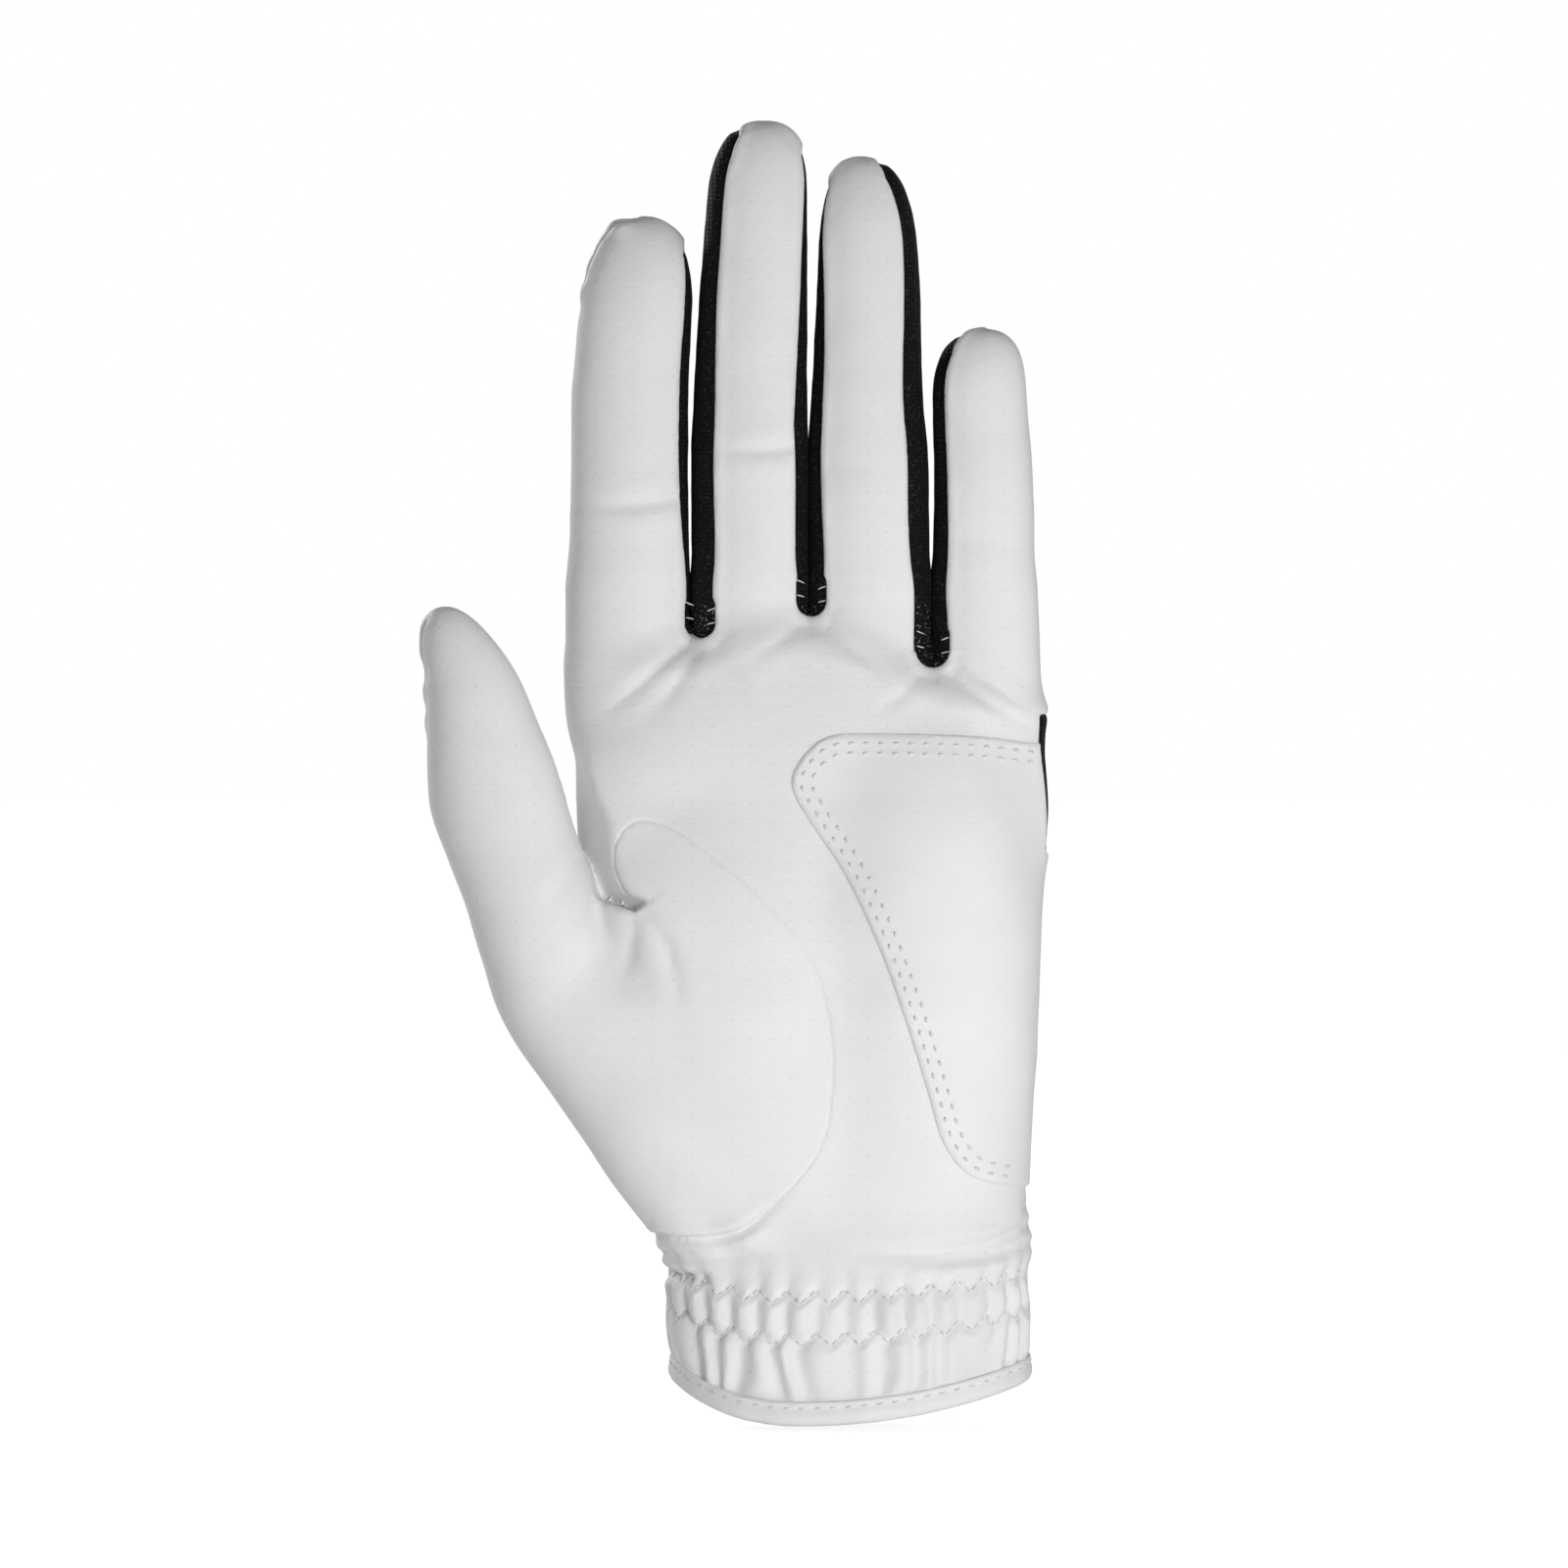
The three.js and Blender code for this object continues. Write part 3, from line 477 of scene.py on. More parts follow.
class Surface:
    """Points, each with the finger it belongs to, triangles, and the triangles' labels."""

    def __init__(self, points, member, triangles):
        self.points = points
        self.member = member
        self.triangles = triangles
        self.labels = {}

    def cut(self, name, field):
        """Splits the triangles along the field's zero line. Label name is 1 where the field is above 0."""
        f = field(self.points, self.member).astype(float)
        t = self.triangles
        edges = np.unique(np.sort(np.concatenate([t[:, [0, 1]], t[:, [1, 2]], t[:, [2, 0]]]), 1), axis=0)
        a, b = edges.T
        crossing = (f[a] > 0) != (f[b] > 0)
        a, b = a[crossing], b[crossing]
        share = f[a] / (f[a] - f[b])
        snapped = np.zeros(len(f), bool)
        for near, other, part in ((a, b, share), (b, a, 1 - share)):
            close = part < 0.22
            start, end = self.points[near[close]], self.points[other[close]]
            self.points[near[close]] = start + (end - start) * part[close, None]
            snapped[near[close]] = True
        f[snapped] = 0
        open_edge = ~(snapped[a] | snapped[b])
        a, b, share = a[open_edge], b[open_edge], share[open_edge]
        new_index = len(f) + np.arange(len(a))
        added = self.points[a] + (self.points[b] - self.points[a]) * share[:, None]
        self.points = np.concatenate([self.points, added])
        self.member = np.concatenate([self.member, self.member[a]])
        new_point = {(int(i), int(j)): int(k) for i, j, k in zip(a, b, new_index)}
        side = np.sign(f).astype(int)
        rows, source = [], []
        split = np.zeros(len(t), bool)
        for row in np.flatnonzero(self._touching(t, a, b, len(f))):
            v = [int(i) for i in t[row]]
            ring = []
            for p, q in zip(v, v[1:] + v[:1]):
                ring.append(p)
                if (min(p, q), max(p, q)) in new_point:
                    ring.append(new_point[(min(p, q), max(p, q))])
            if len(ring) == 3:
                continue
            split[row] = True
            if len(ring) == 4:
                mid = next(k for k in range(4) if ring[k] >= len(f))
                ring = ring[mid:] + ring[:mid]
                pieces = [(ring[0], ring[1], ring[2]), (ring[0], ring[2], ring[3])]
            else:
                lone = next(k for k in range(5) if ring[k] < len(f) and ring[k - 1] >= len(f)
                            and ring[(k + 1) % 5] >= len(f))
                ring = ring[lone:] + ring[:lone]
                pieces = [(ring[k], ring[k + 1], ring[4]) for k in range(3)]
            rows += pieces
            source += [row] * len(pieces)
        kept = np.flatnonzero(~split)
        source = np.concatenate([kept, np.array(source, int)])
        self.triangles = np.concatenate([t[kept], np.array(rows, np.int64).reshape(-1, 3)])
        self.labels = {label: value[source] for label, value in self.labels.items()}
        side = np.concatenate([side, np.zeros(len(a), int)])
        self.labels[name] = (side[self.triangles].sum(1) > 0).astype(int)

    @staticmethod
    def _touching(t, a, b, n):
        """Marks the triangles with at least two points among a and b, of n points."""
        flag = np.zeros(n, bool)
        flag[a] = True
        flag[b] = True
        return flag[t].sum(1) >= 2

    def keep(self, rows):
        self.triangles = self.triangles[rows]
        self.labels = {name: value[rows] for name, value in self.labels.items()}

    def normals(self):
        p, t = self.points, self.triangles
        face = np.cross(p[t[:, 1]] - p[t[:, 0]], p[t[:, 2]] - p[t[:, 0]])
        out = np.zeros_like(p)
        for k in range(3):
            np.add.at(out, t[:, k], face)
        return out / np.maximum(np.linalg.norm(out, axis=1, keepdims=True), 1e-9)


# ---------------------------------------------------------------- where the panels meet

# How wide each black strip shows from the front, as (z, width): -1 is a finger's left side and 1 its right.
STRIPS = {
    "index": {1: [(138, 0.75), (155, 0.85), (165, 1.3), (180, 1.5), (203, 1.2), (211, 0.7), (214, -0.6)]},
    "middle": {-1: [(138, 4.2), (155, 4.2), (180, 4.0), (203, 3.1), (229, 2.8), (232.6, 2.1), (234, 0.6),
                    (235.2, -0.2)],
               1: [(138, 2.0), (160, 2.1), (180, 2.3), (197, 1.4), (222, 0.7), (229, 0.5), (231.5, -0.6)]},
    "ring": {-1: [(138, 3.0), (150, 3.0), (160, 2.6), (180, 2.1), (203, 1.3), (217, 0.6), (223, 0.4),
                  (225.5, -0.6)],
             1: [(130, 2.9), (148, 3.2), (165, 3.8), (180, 3.7), (203, 2.9), (214, 2.5), (225, 2.5),
                 (227.5, 1.4), (228.7, -0.2)]},
    "little": {-1: [(130, 3.05), (146, 3.0), (156, 2.5), (165, 2.2), (180, 1.9), (193, 1.8),
                    (196.5, 0.9), (197.6, -0.2)]},
}
# Where the leather bends at the two joints of each finger, by height, and along the thumb.
BASE_START = {"index": 144.0, "middle": 148.0, "ring": 148.0, "little": 139.0}
BASE_END = {"index": 156.5, "middle": 161.0, "ring": 161.0, "little": 151.0}
TIP_START = {"index": 157.0, "middle": 165.0, "ring": 162.0, "little": 151.0}
THUMB_STARTS = (0.0, 12.0, 13.0, 30.0)
SPLIT = {name: (BASE_END[name] + TIP_START[name]) / 2 for name in NAMES}
THUMB_MEMBER = 4
SEAM_EDGE = 0.32

INSET_AREA = smooth_outline(INSET[:-3]) + [(-60, 30), (-95, 50), (-95, 165), (-53, 165), (-51.2, 112),
                                           (-49.4, 107.2), (-44.9, 96.8), (-41.4, 94.2)]
THUMB_BACK = [(-51.2, 112), (-48, 106), (-45, 96), (-43.5, 82), (-40, 67), (-35.5, 54), (-31.5, 42),
              (-33, 35), (-60, 30), (-95, 50), (-95, 165), (-53, 165)]
PATCH_AREA = smooth_outline(PATCH)
INSERT_AREA = smooth_outline(INSERT + INSERT[:1])[:-1]


def wobble(p, size, seed, waves=7):
    """Smooth unevenness from -1 to 1 with lumps about size mm across."""
    own = np.random.default_rng(seed)
    total = 0
    for _ in range(waves):
        direction = own.normal(size=3)
        direction *= 2 * math.pi / (size * own.uniform(1.4, 3.2)) / np.linalg.norm(direction)
        total = total + np.sin(p @ direction + own.uniform(0, 2 * math.pi))
    return total / waves ** 0.5 / 1.6


def hem_height(x, y):
    dip = -9.0
    right = 8.6 * (np.maximum(x - dip, 0) / 42) ** 2
    left = 9.0 * (np.clip(dip - x, 0, 23.5) / 23.5) ** 2.3
    side = smooth_step(y, -12, 12)
    return HEM_LOW + (right + left) * (1 - HEM_LOW / BACK_HEM) * (1 - side) + (BACK_HEM - HEM_LOW) * side


def hem_field(p, member):
    return p[:, 2] - hem_height(p[:, 0], p[:, 1]) - CUFF_BINDING_IN


def slit_field(p, member):
    """Above 0 outside the slit at the back of the wrist."""
    beyond = np.maximum(p[:, 2] - SLIT_TOP + SLIT_HALF, 0)
    return np.where(p[:, 1] > 0, np.hypot(p[:, 0] - SLIT_X, beyond) - SLIT_HALF, 9)


def tip_half(name, z):
    f = FINGERS[name]
    q = np.clip((z - TIPS[name] + f["dome"]) / f["dome"], 0, 1)
    return through(f["half"], z) * (1 - q ** DOME_POWER) ** (1 / DOME_POWER)


def black_field(p, member):
    """Above 0 on the strips between the fingers and the tongues that they end in."""
    x, y, z = p.T
    out = np.full(len(p), -9.0)
    for k, name in enumerate(NAMES):
        mine = (member == k) & (z > 134)
        for side, widths in STRIPS[name].items():
            w = np.interp(z[mine], *np.array(widths).T)
            from_centre = side * (x[mine] - through(FINGERS[name]["centre"], z[mine]))
            field = from_centre - tip_half(name, z[mine]) + w
            web = WEBS[k if side > 0 else k - 1]
            field = np.minimum(field, z[mine] - web["start"] - web["half"])
            out[mine] = np.maximum(out[mine], field)
    for web in WEBS:
        beyond = np.maximum(web["start"] + web["half"] - z, 0)
        slimmer = 0.4 * np.maximum(z - web["start"] - 6, 0)
        tongue = web["half"] - slimmer - np.hypot(x - web["x"], beyond)
        out = np.where(member < THUMB_MEMBER, np.maximum(out, tongue), out)
    return out


def thumb_share(p):
    x, y, z = p.T
    share = smooth_step(palm_distance(x, y, z) - thumb_distance(x, y, z), -3, 5)
    return np.where((x < -15) & (z < 156), share, 0)


def back_field(p, member):
    """Above 0 on the back of the hand, below 0 on the palm side."""
    x, y, z = p.T
    split = np.full(len(p), 1.5)
    index = (member == 0) & (z > 190) & (x < -38)
    split = np.where(index, 1.5 - 4.2 * smooth_step(z, 197, 210), split)
    flat = y - split
    side, deep, length = thumb_frame(x, y, z)
    seam = 2.5 - 5.0 * smooth_step(length, 18, 34) * smooth_step(-side, -2, 4)
    share = thumb_share(p)
    return flat * (1 - share) + (deep - seam) * share


def thumb_field(p, member):
    """Above 0 on the thumb piece, which takes in the ball of the thumb on the palm side."""
    x, y, z = p.T
    front = polygon_field(x, z, INSET_AREA)
    back = polygon_field(x, z, THUMB_BACK)
    side = smooth_step(back_field(p, member), -2, 2)
    field = front * (1 - side) + back * side
    return np.where((member < THUMB_MEMBER) & (z > 112), -9, field)


def patch_field(p, member):
    x, y, z = p.T
    field = np.minimum(polygon_field(x, z, PATCH_AREA), 30)
    beside_insert = smooth_step(z, 100, 104)
    wrap = PATCH_BACK + (INSERT_FRONT - 0.3 - PATCH_BACK) * beside_insert - y
    return np.where(x > 20, np.minimum(field, wrap), np.where(y > 0, -9, field))


def insert_field(p, member):
    x, y, z = p.T
    field = polygon_field(x, z, INSERT_AREA)
    return np.where(y > INSERT_FRONT - 3, np.minimum(field, y - INSERT_FRONT), -9)


def base_field(p, member):
    starts = np.array([BASE_START[name] for name in NAMES] + [0])
    length = thumb_frame(*p.T)[2]
    return np.where(member == THUMB_MEMBER, length - THUMB_STARTS[0], p[:, 2] - starts[member])


def tip_field(p, member):
    splits = np.array([SPLIT[name] for name in NAMES] + [0])
    length = thumb_frame(*p.T)[2]
    middle = (THUMB_STARTS[1] + THUMB_STARTS[2]) / 2
    return np.where(member == THUMB_MEMBER, length - middle, p[:, 2] - splits[member])


def make_surface():
    field, axes = form_grid()
    points, triangles = surface_net(field, axes)
    member = member_of(points[:, 0], points[:, 2])
    for k, name in enumerate(NAMES):
        share = np.where(points[:, 2] > 146, FINGERS[name]["fan"], fan_between(points[:, 0]))
        mine = member == k
        points[mine, 0] -= (share * fan_ramp(points[:, 2]))[mine]
    x, y, z = points.T
    nearer_thumb = thumb_distance(x, y, z) < palm_distance(x, y, z)
    thumb = nearer_thumb & (x < -44) & (z > 96) & (x < -52 + (z < 108) * 8)
    member[thumb] = THUMB_MEMBER
    points = settle(points, member)
    surface = Surface(points, member, triangles)
    surface.cut("cuff", hem_field)
    surface.keep(surface.labels["cuff"] == 1)
    surface.cut("slit", slit_field)
    surface.keep(surface.labels["slit"] == 1)
    surface.cut("black_edge", lambda p, m: black_field(p, m) + 0.5)
    surface.cut("black", black_field)
    for shift in (-SEAM_EDGE, SEAM_EDGE):
        surface.cut("back_edge", lambda p, m: back_field(p, m) + shift)
    surface.cut("back", back_field)
    for shift in (-SEAM_EDGE, SEAM_EDGE):
        surface.cut("thumb_edge", lambda p, m: thumb_field(p, m) + shift)
    surface.cut("thumb", thumb_field)
    surface.cut("insert", insert_field)
    surface.cut("patch_edge", lambda p, m: patch_field(p, m) - 0.5)
    surface.cut("patch", patch_field)
    surface.cut("base", base_field)
    surface.cut("tip", tip_field)
    return surface


# ---------------------------------------------------------------- the cuff's own coordinate


def cuff_turn(x, y, z):
    """The angle round the cuff, 0 at its right edge, 90 degrees on the back and -90 on the palm side."""
    cx, w, cy, d = hand_section(z)
    u, v = (x - cx) / w, (y - cy) / d
    half = HAND_POWER / 2
    return np.arctan2(np.sign(v) * np.abs(v) ** half, np.sign(u) * np.abs(u) ** half)


def cuff_point(turn, z):
    """Points on the cuff at angles turn and heights z, and their outward normals."""
    turn, z = np.broadcast_arrays(np.asarray(turn, float), np.asarray(z, float))
    cx, w, cy, d = hand_section(z)
    c, s = np.cos(turn), np.sin(turn)
    power = 2 / HAND_POWER
    u, v = np.sign(c) * np.abs(c) ** power, np.sign(s) * np.abs(s) ** power
    n = np.stack([np.sign(u) * np.abs(u) ** (HAND_POWER - 1) / w,
                  np.sign(v) * np.abs(v) ** (HAND_POWER - 1) / d, 0 * z], -1)
    n /= np.linalg.norm(n, axis=-1, keepdims=True)
    return np.stack([cx + w * u, cy + d * v, z], -1), n


def make_arc():
    """Arc length round the cuff by angle, measured at one height, 0 at the middle of the palm side."""
    turn = np.linspace(-math.pi, math.pi, 1441)
    p, _ = cuff_point(turn, 16.0)
    length = np.concatenate([[0], np.cumsum(np.linalg.norm(np.diff(p, axis=0), axis=1))])
    middle = np.interp(-math.pi / 2, turn, length)
    return turn, length - middle


ARC_TURN, ARC_LENGTH = make_arc()


def arc_of(turn):
    return np.interp(turn, ARC_TURN, ARC_LENGTH)


def turn_of(arc):
    return np.interp(arc, ARC_LENGTH, ARC_TURN)


GATHERS = 15
GATHER_SHIFT = -0.6


def zigzag_offset(arc):
    """Height of the zigzag over its row's middle line: points up between the puffs."""
    phase = (arc - GATHER_SHIFT) / ZIGZAG_PITCH
    return ZIGZAG_TOOTH * (2 * np.abs((phase % 1) - 0.5) - 0.5)


def row_height(row, x, y):
    height, follow = ZIGZAG_ROWS[row]
    return height + follow * hem_height(x, y)


# ---------------------------------------------------------------- relief: puffs, pleats, seams and creases


def bell(d, width):
    return np.exp(-(d / width) ** 2)


def gathers(p):
    """The puffs and pleats that the wrist elastic draws up, on the palm side."""
    x, y, z = p.T
    near = z < 52
    out = np.zeros(len(p))
    x, y, z = x[near], y[near], z[near]
    turn = cuff_turn(x, y, z)
    arc = arc_of(turn)
    reach = GATHERS / 2 * ZIGZAG_PITCH
    inside = smooth_step(reach + 3 - np.abs(arc - GATHER_SHIFT), 0, 5) * (y < 4)
    phase = (arc - GATHER_SHIFT) / ZIGZAG_PITCH
    drift = 0.3 * wobble(np.stack([arc, 0 * arc, z * 0.7], 1), 9, 31)
    uneven = np.clip(1 + 0.6 * wobble(np.stack([arc, 0 * arc, z], 1), 8, 32), 0.65, 1.5)
    puff = 0.5 - 0.5 * np.cos(2 * math.pi * (phase + 0.5 * drift))
    upper, lower = row_height(0, x, y), row_height(1, x, y)
    tooth = zigzag_offset(arc)
    between = smooth_step(z, lower - 0.5, lower + 2.5) * (1 - smooth_step(z, upper - 2.0, upper + 1.2))
    below = (1 - smooth_step(z, lower - 2.5, lower + 0.5)) * smooth_step(z, hem_height(x, y) + 2.2,
                                                                        hem_height(x, y) + 6)
    fade = upper + 8 + 2.5 * wobble(np.stack([arc, 0 * arc, 0 * arc], 1), 14, 33)
    above = smooth_step(z, upper - 0.5, upper + 2) * (1 - smooth_step(z, upper + 1, fade))
    relief = between * (1.25 * puff ** 0.7 * uneven - 0.45)
    fold = 0.5 - 0.5 * np.cos(2 * math.pi * (phase * 0.86 + drift * 2.2))
    relief = relief + below * (1.2 * fold * uneven - 0.5)
    relief = relief + above * (0.45 * puff * uneven - 0.15)
    for line in (upper, lower):
        relief = relief - 0.7 * bell(z - line - tooth, 0.75)
    out[near] = relief * inside
    return out


# Soft folds in the leather, each a line of (x, z) on the palm side with its depth and width.
CREASES = [
    ([(-28.8, 141.2), (-33, 137.5), (-39, 132), (-46, 127)], 0.42, 1.4),
    ([(-27.4, 139.6), (-31, 133), (-36.5, 127.5)], 0.3, 1.5),
    ([(-24.4, 140.5), (-20.5, 134), (-18, 127)], 0.22, 1.6),
    ([(-4.6, 144.6), (-0.5, 140.5), (4.5, 137), (9, 131)], 0.36, 1.5),
    ([(-8.6, 144.6), (-13, 140.5), (-20, 137)], 0.24, 1.5),
    ([(17.6, 136.4), (22, 132.5), (28, 128.5), (35, 124.5)], 0.5, 1.3),
    ([(18.2, 138.6), (24, 134.6), (30, 130.5), (35.5, 127)], 0.4, 1.2),
    ([(13.4, 135.6), (9, 131), (4, 128)], 0.24, 1.5),
    ([(-29.5, 167.4), (-36, 166), (-44, 165.8), (-50, 166.8)], 0.55, 1.7),
    ([(-8, 177), (-13, 175.8), (-20, 175.6), (-25, 176.8)], 0.55, 1.7),
    ([(-4, 173.6), (2, 172.4), (9, 173)], 0.14, 2.2),
    ([(17, 160.6), (23, 159.6), (32, 160.4)], 0.12, 2.2),
    ([(-37.6, 93.2), (-33.5, 88), (-31, 81), (-30, 73)], 0.5, 1.6),
    ([(-38.4, 92.4), (-39, 86), (-40.5, 79)], 0.5, 1.8),
    ([(-48, 103), (-50.5, 98), (-54, 93)], 0.3, 1.6),
    ([(-36, 34.4), (-30, 33.8), (-24, 34), (-18, 36), (-10, 43)], 1.1, 1.0),
    ([(-34, 31.6), (-28, 31), (-20, 31.4), (-12, 31.6)], 0.7, 1.3),
    ([(-34, 27.6), (-29, 27), (-23, 27.6)], 1.2, 1.2),
    ([(33.5, 36.5), (25, 33), (14, 31.8), (2, 31.6)], 1.3, 1.5),
    ([(33.5, 33), (26, 31), (17, 30), (8, 30)], 0.9, 1.2),
    ([(33, 39.5), (27, 37.4), (19, 36.4)], 0.35, 1.5),
]


def creases(p):
    x, y, z = p.T
    out = np.zeros(len(p))
    front = y < 0.5
    for line, depth, width in CREASES:
        pts = np.array(line)
        low, high = pts.min(0) - 6, pts.max(0) + 6
        near = front & (x > low[0]) & (x < high[0]) & (z > low[1]) & (z < high[1])
        d, along = polyline_distance(x[near], z[near], smooth_outline(line, 5))
        taper = smooth_step(along, 0, 0.06) * (1 - smooth_step(along, 0.45, 1.0) * 0.9)
        out[near] += depth * taper * (0.42 * bell(d - 1.9 * width, 1.4 * width) - bell(d, width * 0.8))
    return out


def seam_relief(f, groove=0.45, puff=0.22, reach=1.4):
    """Two leather edges turned in along a seam at f = 0."""
    d = np.abs(f)
    return puff * bell(d - reach, 1.0) - groove * np.clip(1 - d / SEAM_EDGE, 0, 1)


def relief(p, member):
    """How far the leather stands out from the smooth form."""
    x, y, z = p.T
    black = black_field(p, member)
    back = back_field(p, member)
    thumb = thumb_field(p, member)
    insert = insert_field(p, member)
    out = 0.22 * wobble(p * [1, 0.5, 1], 26, 11) + 0.1 * wobble(p * [1, 0.5, 1.6], 9, 12)
    out = out * smooth_step(z, 4, 30) * (1 - 0.8 * smooth_step(black, -1.5, 0))
    wavy = 1 + 0.45 * wobble(p, 5, 13)
    outside = np.where(black < 0, 0.34 * wavy * bell(black + 1.1, 0.9), 0)
    step = -0.5 * smooth_step(black, -0.5, 0.05) * (1 - 0.8 * smooth_step(black, 0.3, 1.6))
    weave = np.where(black > 0, 0.05 * wobble(p, 2.4, 14), 0)
    out = out + outside + step + weave
    plain = smooth_step(-black, 0.2, 1.2)
    side, _, length = thumb_frame(x, y, z)
    thumb_tip = (member == THUMB_MEMBER) * smooth_step(length, 17, 24) * smooth_step(-side, 0, 3)
    tips = smooth_step(z, 196, 206) * (member == 0) + thumb_tip
    strength = np.where((member == THUMB_MEMBER) | ((x < -40) & (z < 112)), 0.12, 0.55) + 0.45 * tips
    out = out + strength * plain * seam_relief(back) * smooth_step(z, 26, 34)
    pucker = bell(np.abs(back) - 1.4, 1.3) * tips * plain
    out = out + 0.6 * pucker * wobble(p * [1.0, 0.4, 1.0], 3.0, 15)
    hidden = ((x < -43.2) & (z > 90)) | ((x < -36.5) & (z > 90) & (z < 95.5))
    sewn = 0.26 * np.clip(1 - np.abs(thumb) / SEAM_EDGE, 0, 1) - 0.06 * bell(np.abs(thumb) - 1.2, 0.9)
    out = out - plain * sewn * ~hidden
    out = out + seam_relief(insert, puff=0.15) - 0.35 * smooth_step(insert, -0.2, 0.4)
    out = out + gathers(p) + creases(p) * plain
    return out


# ---------------------------------------------------------------- the panels


surface = make_surface()
base = surface.points
base_normals = surface.normals()
height = relief(base, surface.member)
outer = base + base_normals * height[:, None]
displaced = Surface(outer, surface.member, surface.triangles)
outer_normals = displaced.normals()
fabric = np.where(black_field(base, surface.member) > -0.2, KNIT, LEATHER)
inner = base + base_normals * (np.minimum(height, 0.3) - fabric)[:, None]
L = surface.labels
skin = BVHTree.FromPolygons(outer.tolist(), surface.triangles.tolist())


SUFFIX = "_form"
MADE = {}


def volume(vertices, faces):
    """Six times the volume inside closed faces, above 0 if they face out."""
    total = 0.0
    for face in faces:
        a = vertices[face[0]]
        for k in range(1, len(face) - 1):
            b, c = vertices[face[k]], vertices[face[k + 1]]
            total += (a[0] * (b[1] * c[2] - b[2] * c[1]) + a[1] * (b[2] * c[0] - b[0] * c[2])
                      + a[2] * (b[0] * c[1] - b[1] * c[0]))
    return total


def put_mesh(name, vertices, faces, material, normals=None):
    """A Blender mesh from points in mm, with its own corner normals where they are given."""
    mesh = bpy.data.meshes.new(name + SUFFIX)
    vertices = np.asarray(vertices, float)
    assert np.isfinite(vertices).all(), name
    if normals is None:
        faces = [f[::-1] for f in faces] if volume(vertices.tolist(), faces) < 0 else faces
    else:
        faces = faces.tolist()
    mesh.from_pydata((vertices * MM).tolist(), [], faces)
    mesh.polygons.foreach_set("use_smooth", np.ones(len(mesh.polygons), bool))
    place = mesh.attributes.new("rest", "FLOAT_VECTOR", "POINT")
    place.data.foreach_set("vector", (vertices * MM).astype(np.float32).ravel())
    if normals is not None:
        mesh.normals_split_custom_set(normals.tolist())
    obj = bpy.data.objects.new(name + SUFFIX, mesh)
    bpy.context.scene.collection.objects.link(obj)
    mesh.materials.append(material)
    mesh.update()
    MADE[name] = obj
    return obj


def boundary_edges(t):
    """Edges that only one triangle uses, in that triangle's direction."""
    edges = np.concatenate([t[:, [0, 1]], t[:, [1, 2]], t[:, [2, 0]]])
    size = t.max() + 1
    forward = edges[:, 0] * size + edges[:, 1]
    backward = edges[:, 1] * size + edges[:, 0]
    return edges[~np.isin(forward, backward)]


def panel(name, rows, material, lift=None):
    """A closed piece of the surface with thickness: an outer face, an inner face and a rim."""
    t = surface.triangles[rows]
    used = np.unique(t)
    place = np.full(len(base), -1)
    place[used] = np.arange(len(used))
    t = place[t]
    n = len(used)
    top, top_normals = outer[used], outer_normals[used]
    low, low_normals = inner[used], -base_normals[used]
    if lift is not None:
        low = top + base_normals[used] * 0.08
        top = top + base_normals[used] * lift[used][:, None]
        top_normals = Surface(top, None, t).normals()
    rim = boundary_edges(t)
    a, b = rim.T
    rims = np.concatenate([np.stack([b, a, a + n], 1), np.stack([b, a + n, b + n], 1)])
    vertices = np.concatenate([top, low])
    faces = np.concatenate([t, t[:, ::-1] + n, rims])
    flat = np.cross(vertices[rims[:, 1]] - vertices[rims[:, 0]], vertices[rims[:, 2]] - vertices[rims[:, 0]])
    flat /= np.maximum(np.linalg.norm(flat, axis=1, keepdims=True), 1e-9)
    normals = np.concatenate([top_normals[t].reshape(-1, 3), low_normals[t[:, ::-1]].reshape(-1, 3),
                              np.repeat(flat, 3, 0)])
    piece = put_mesh(name, vertices, faces, material, normals)
    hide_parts(name)
    return piece


# ---------------------------------------------------------------- materials


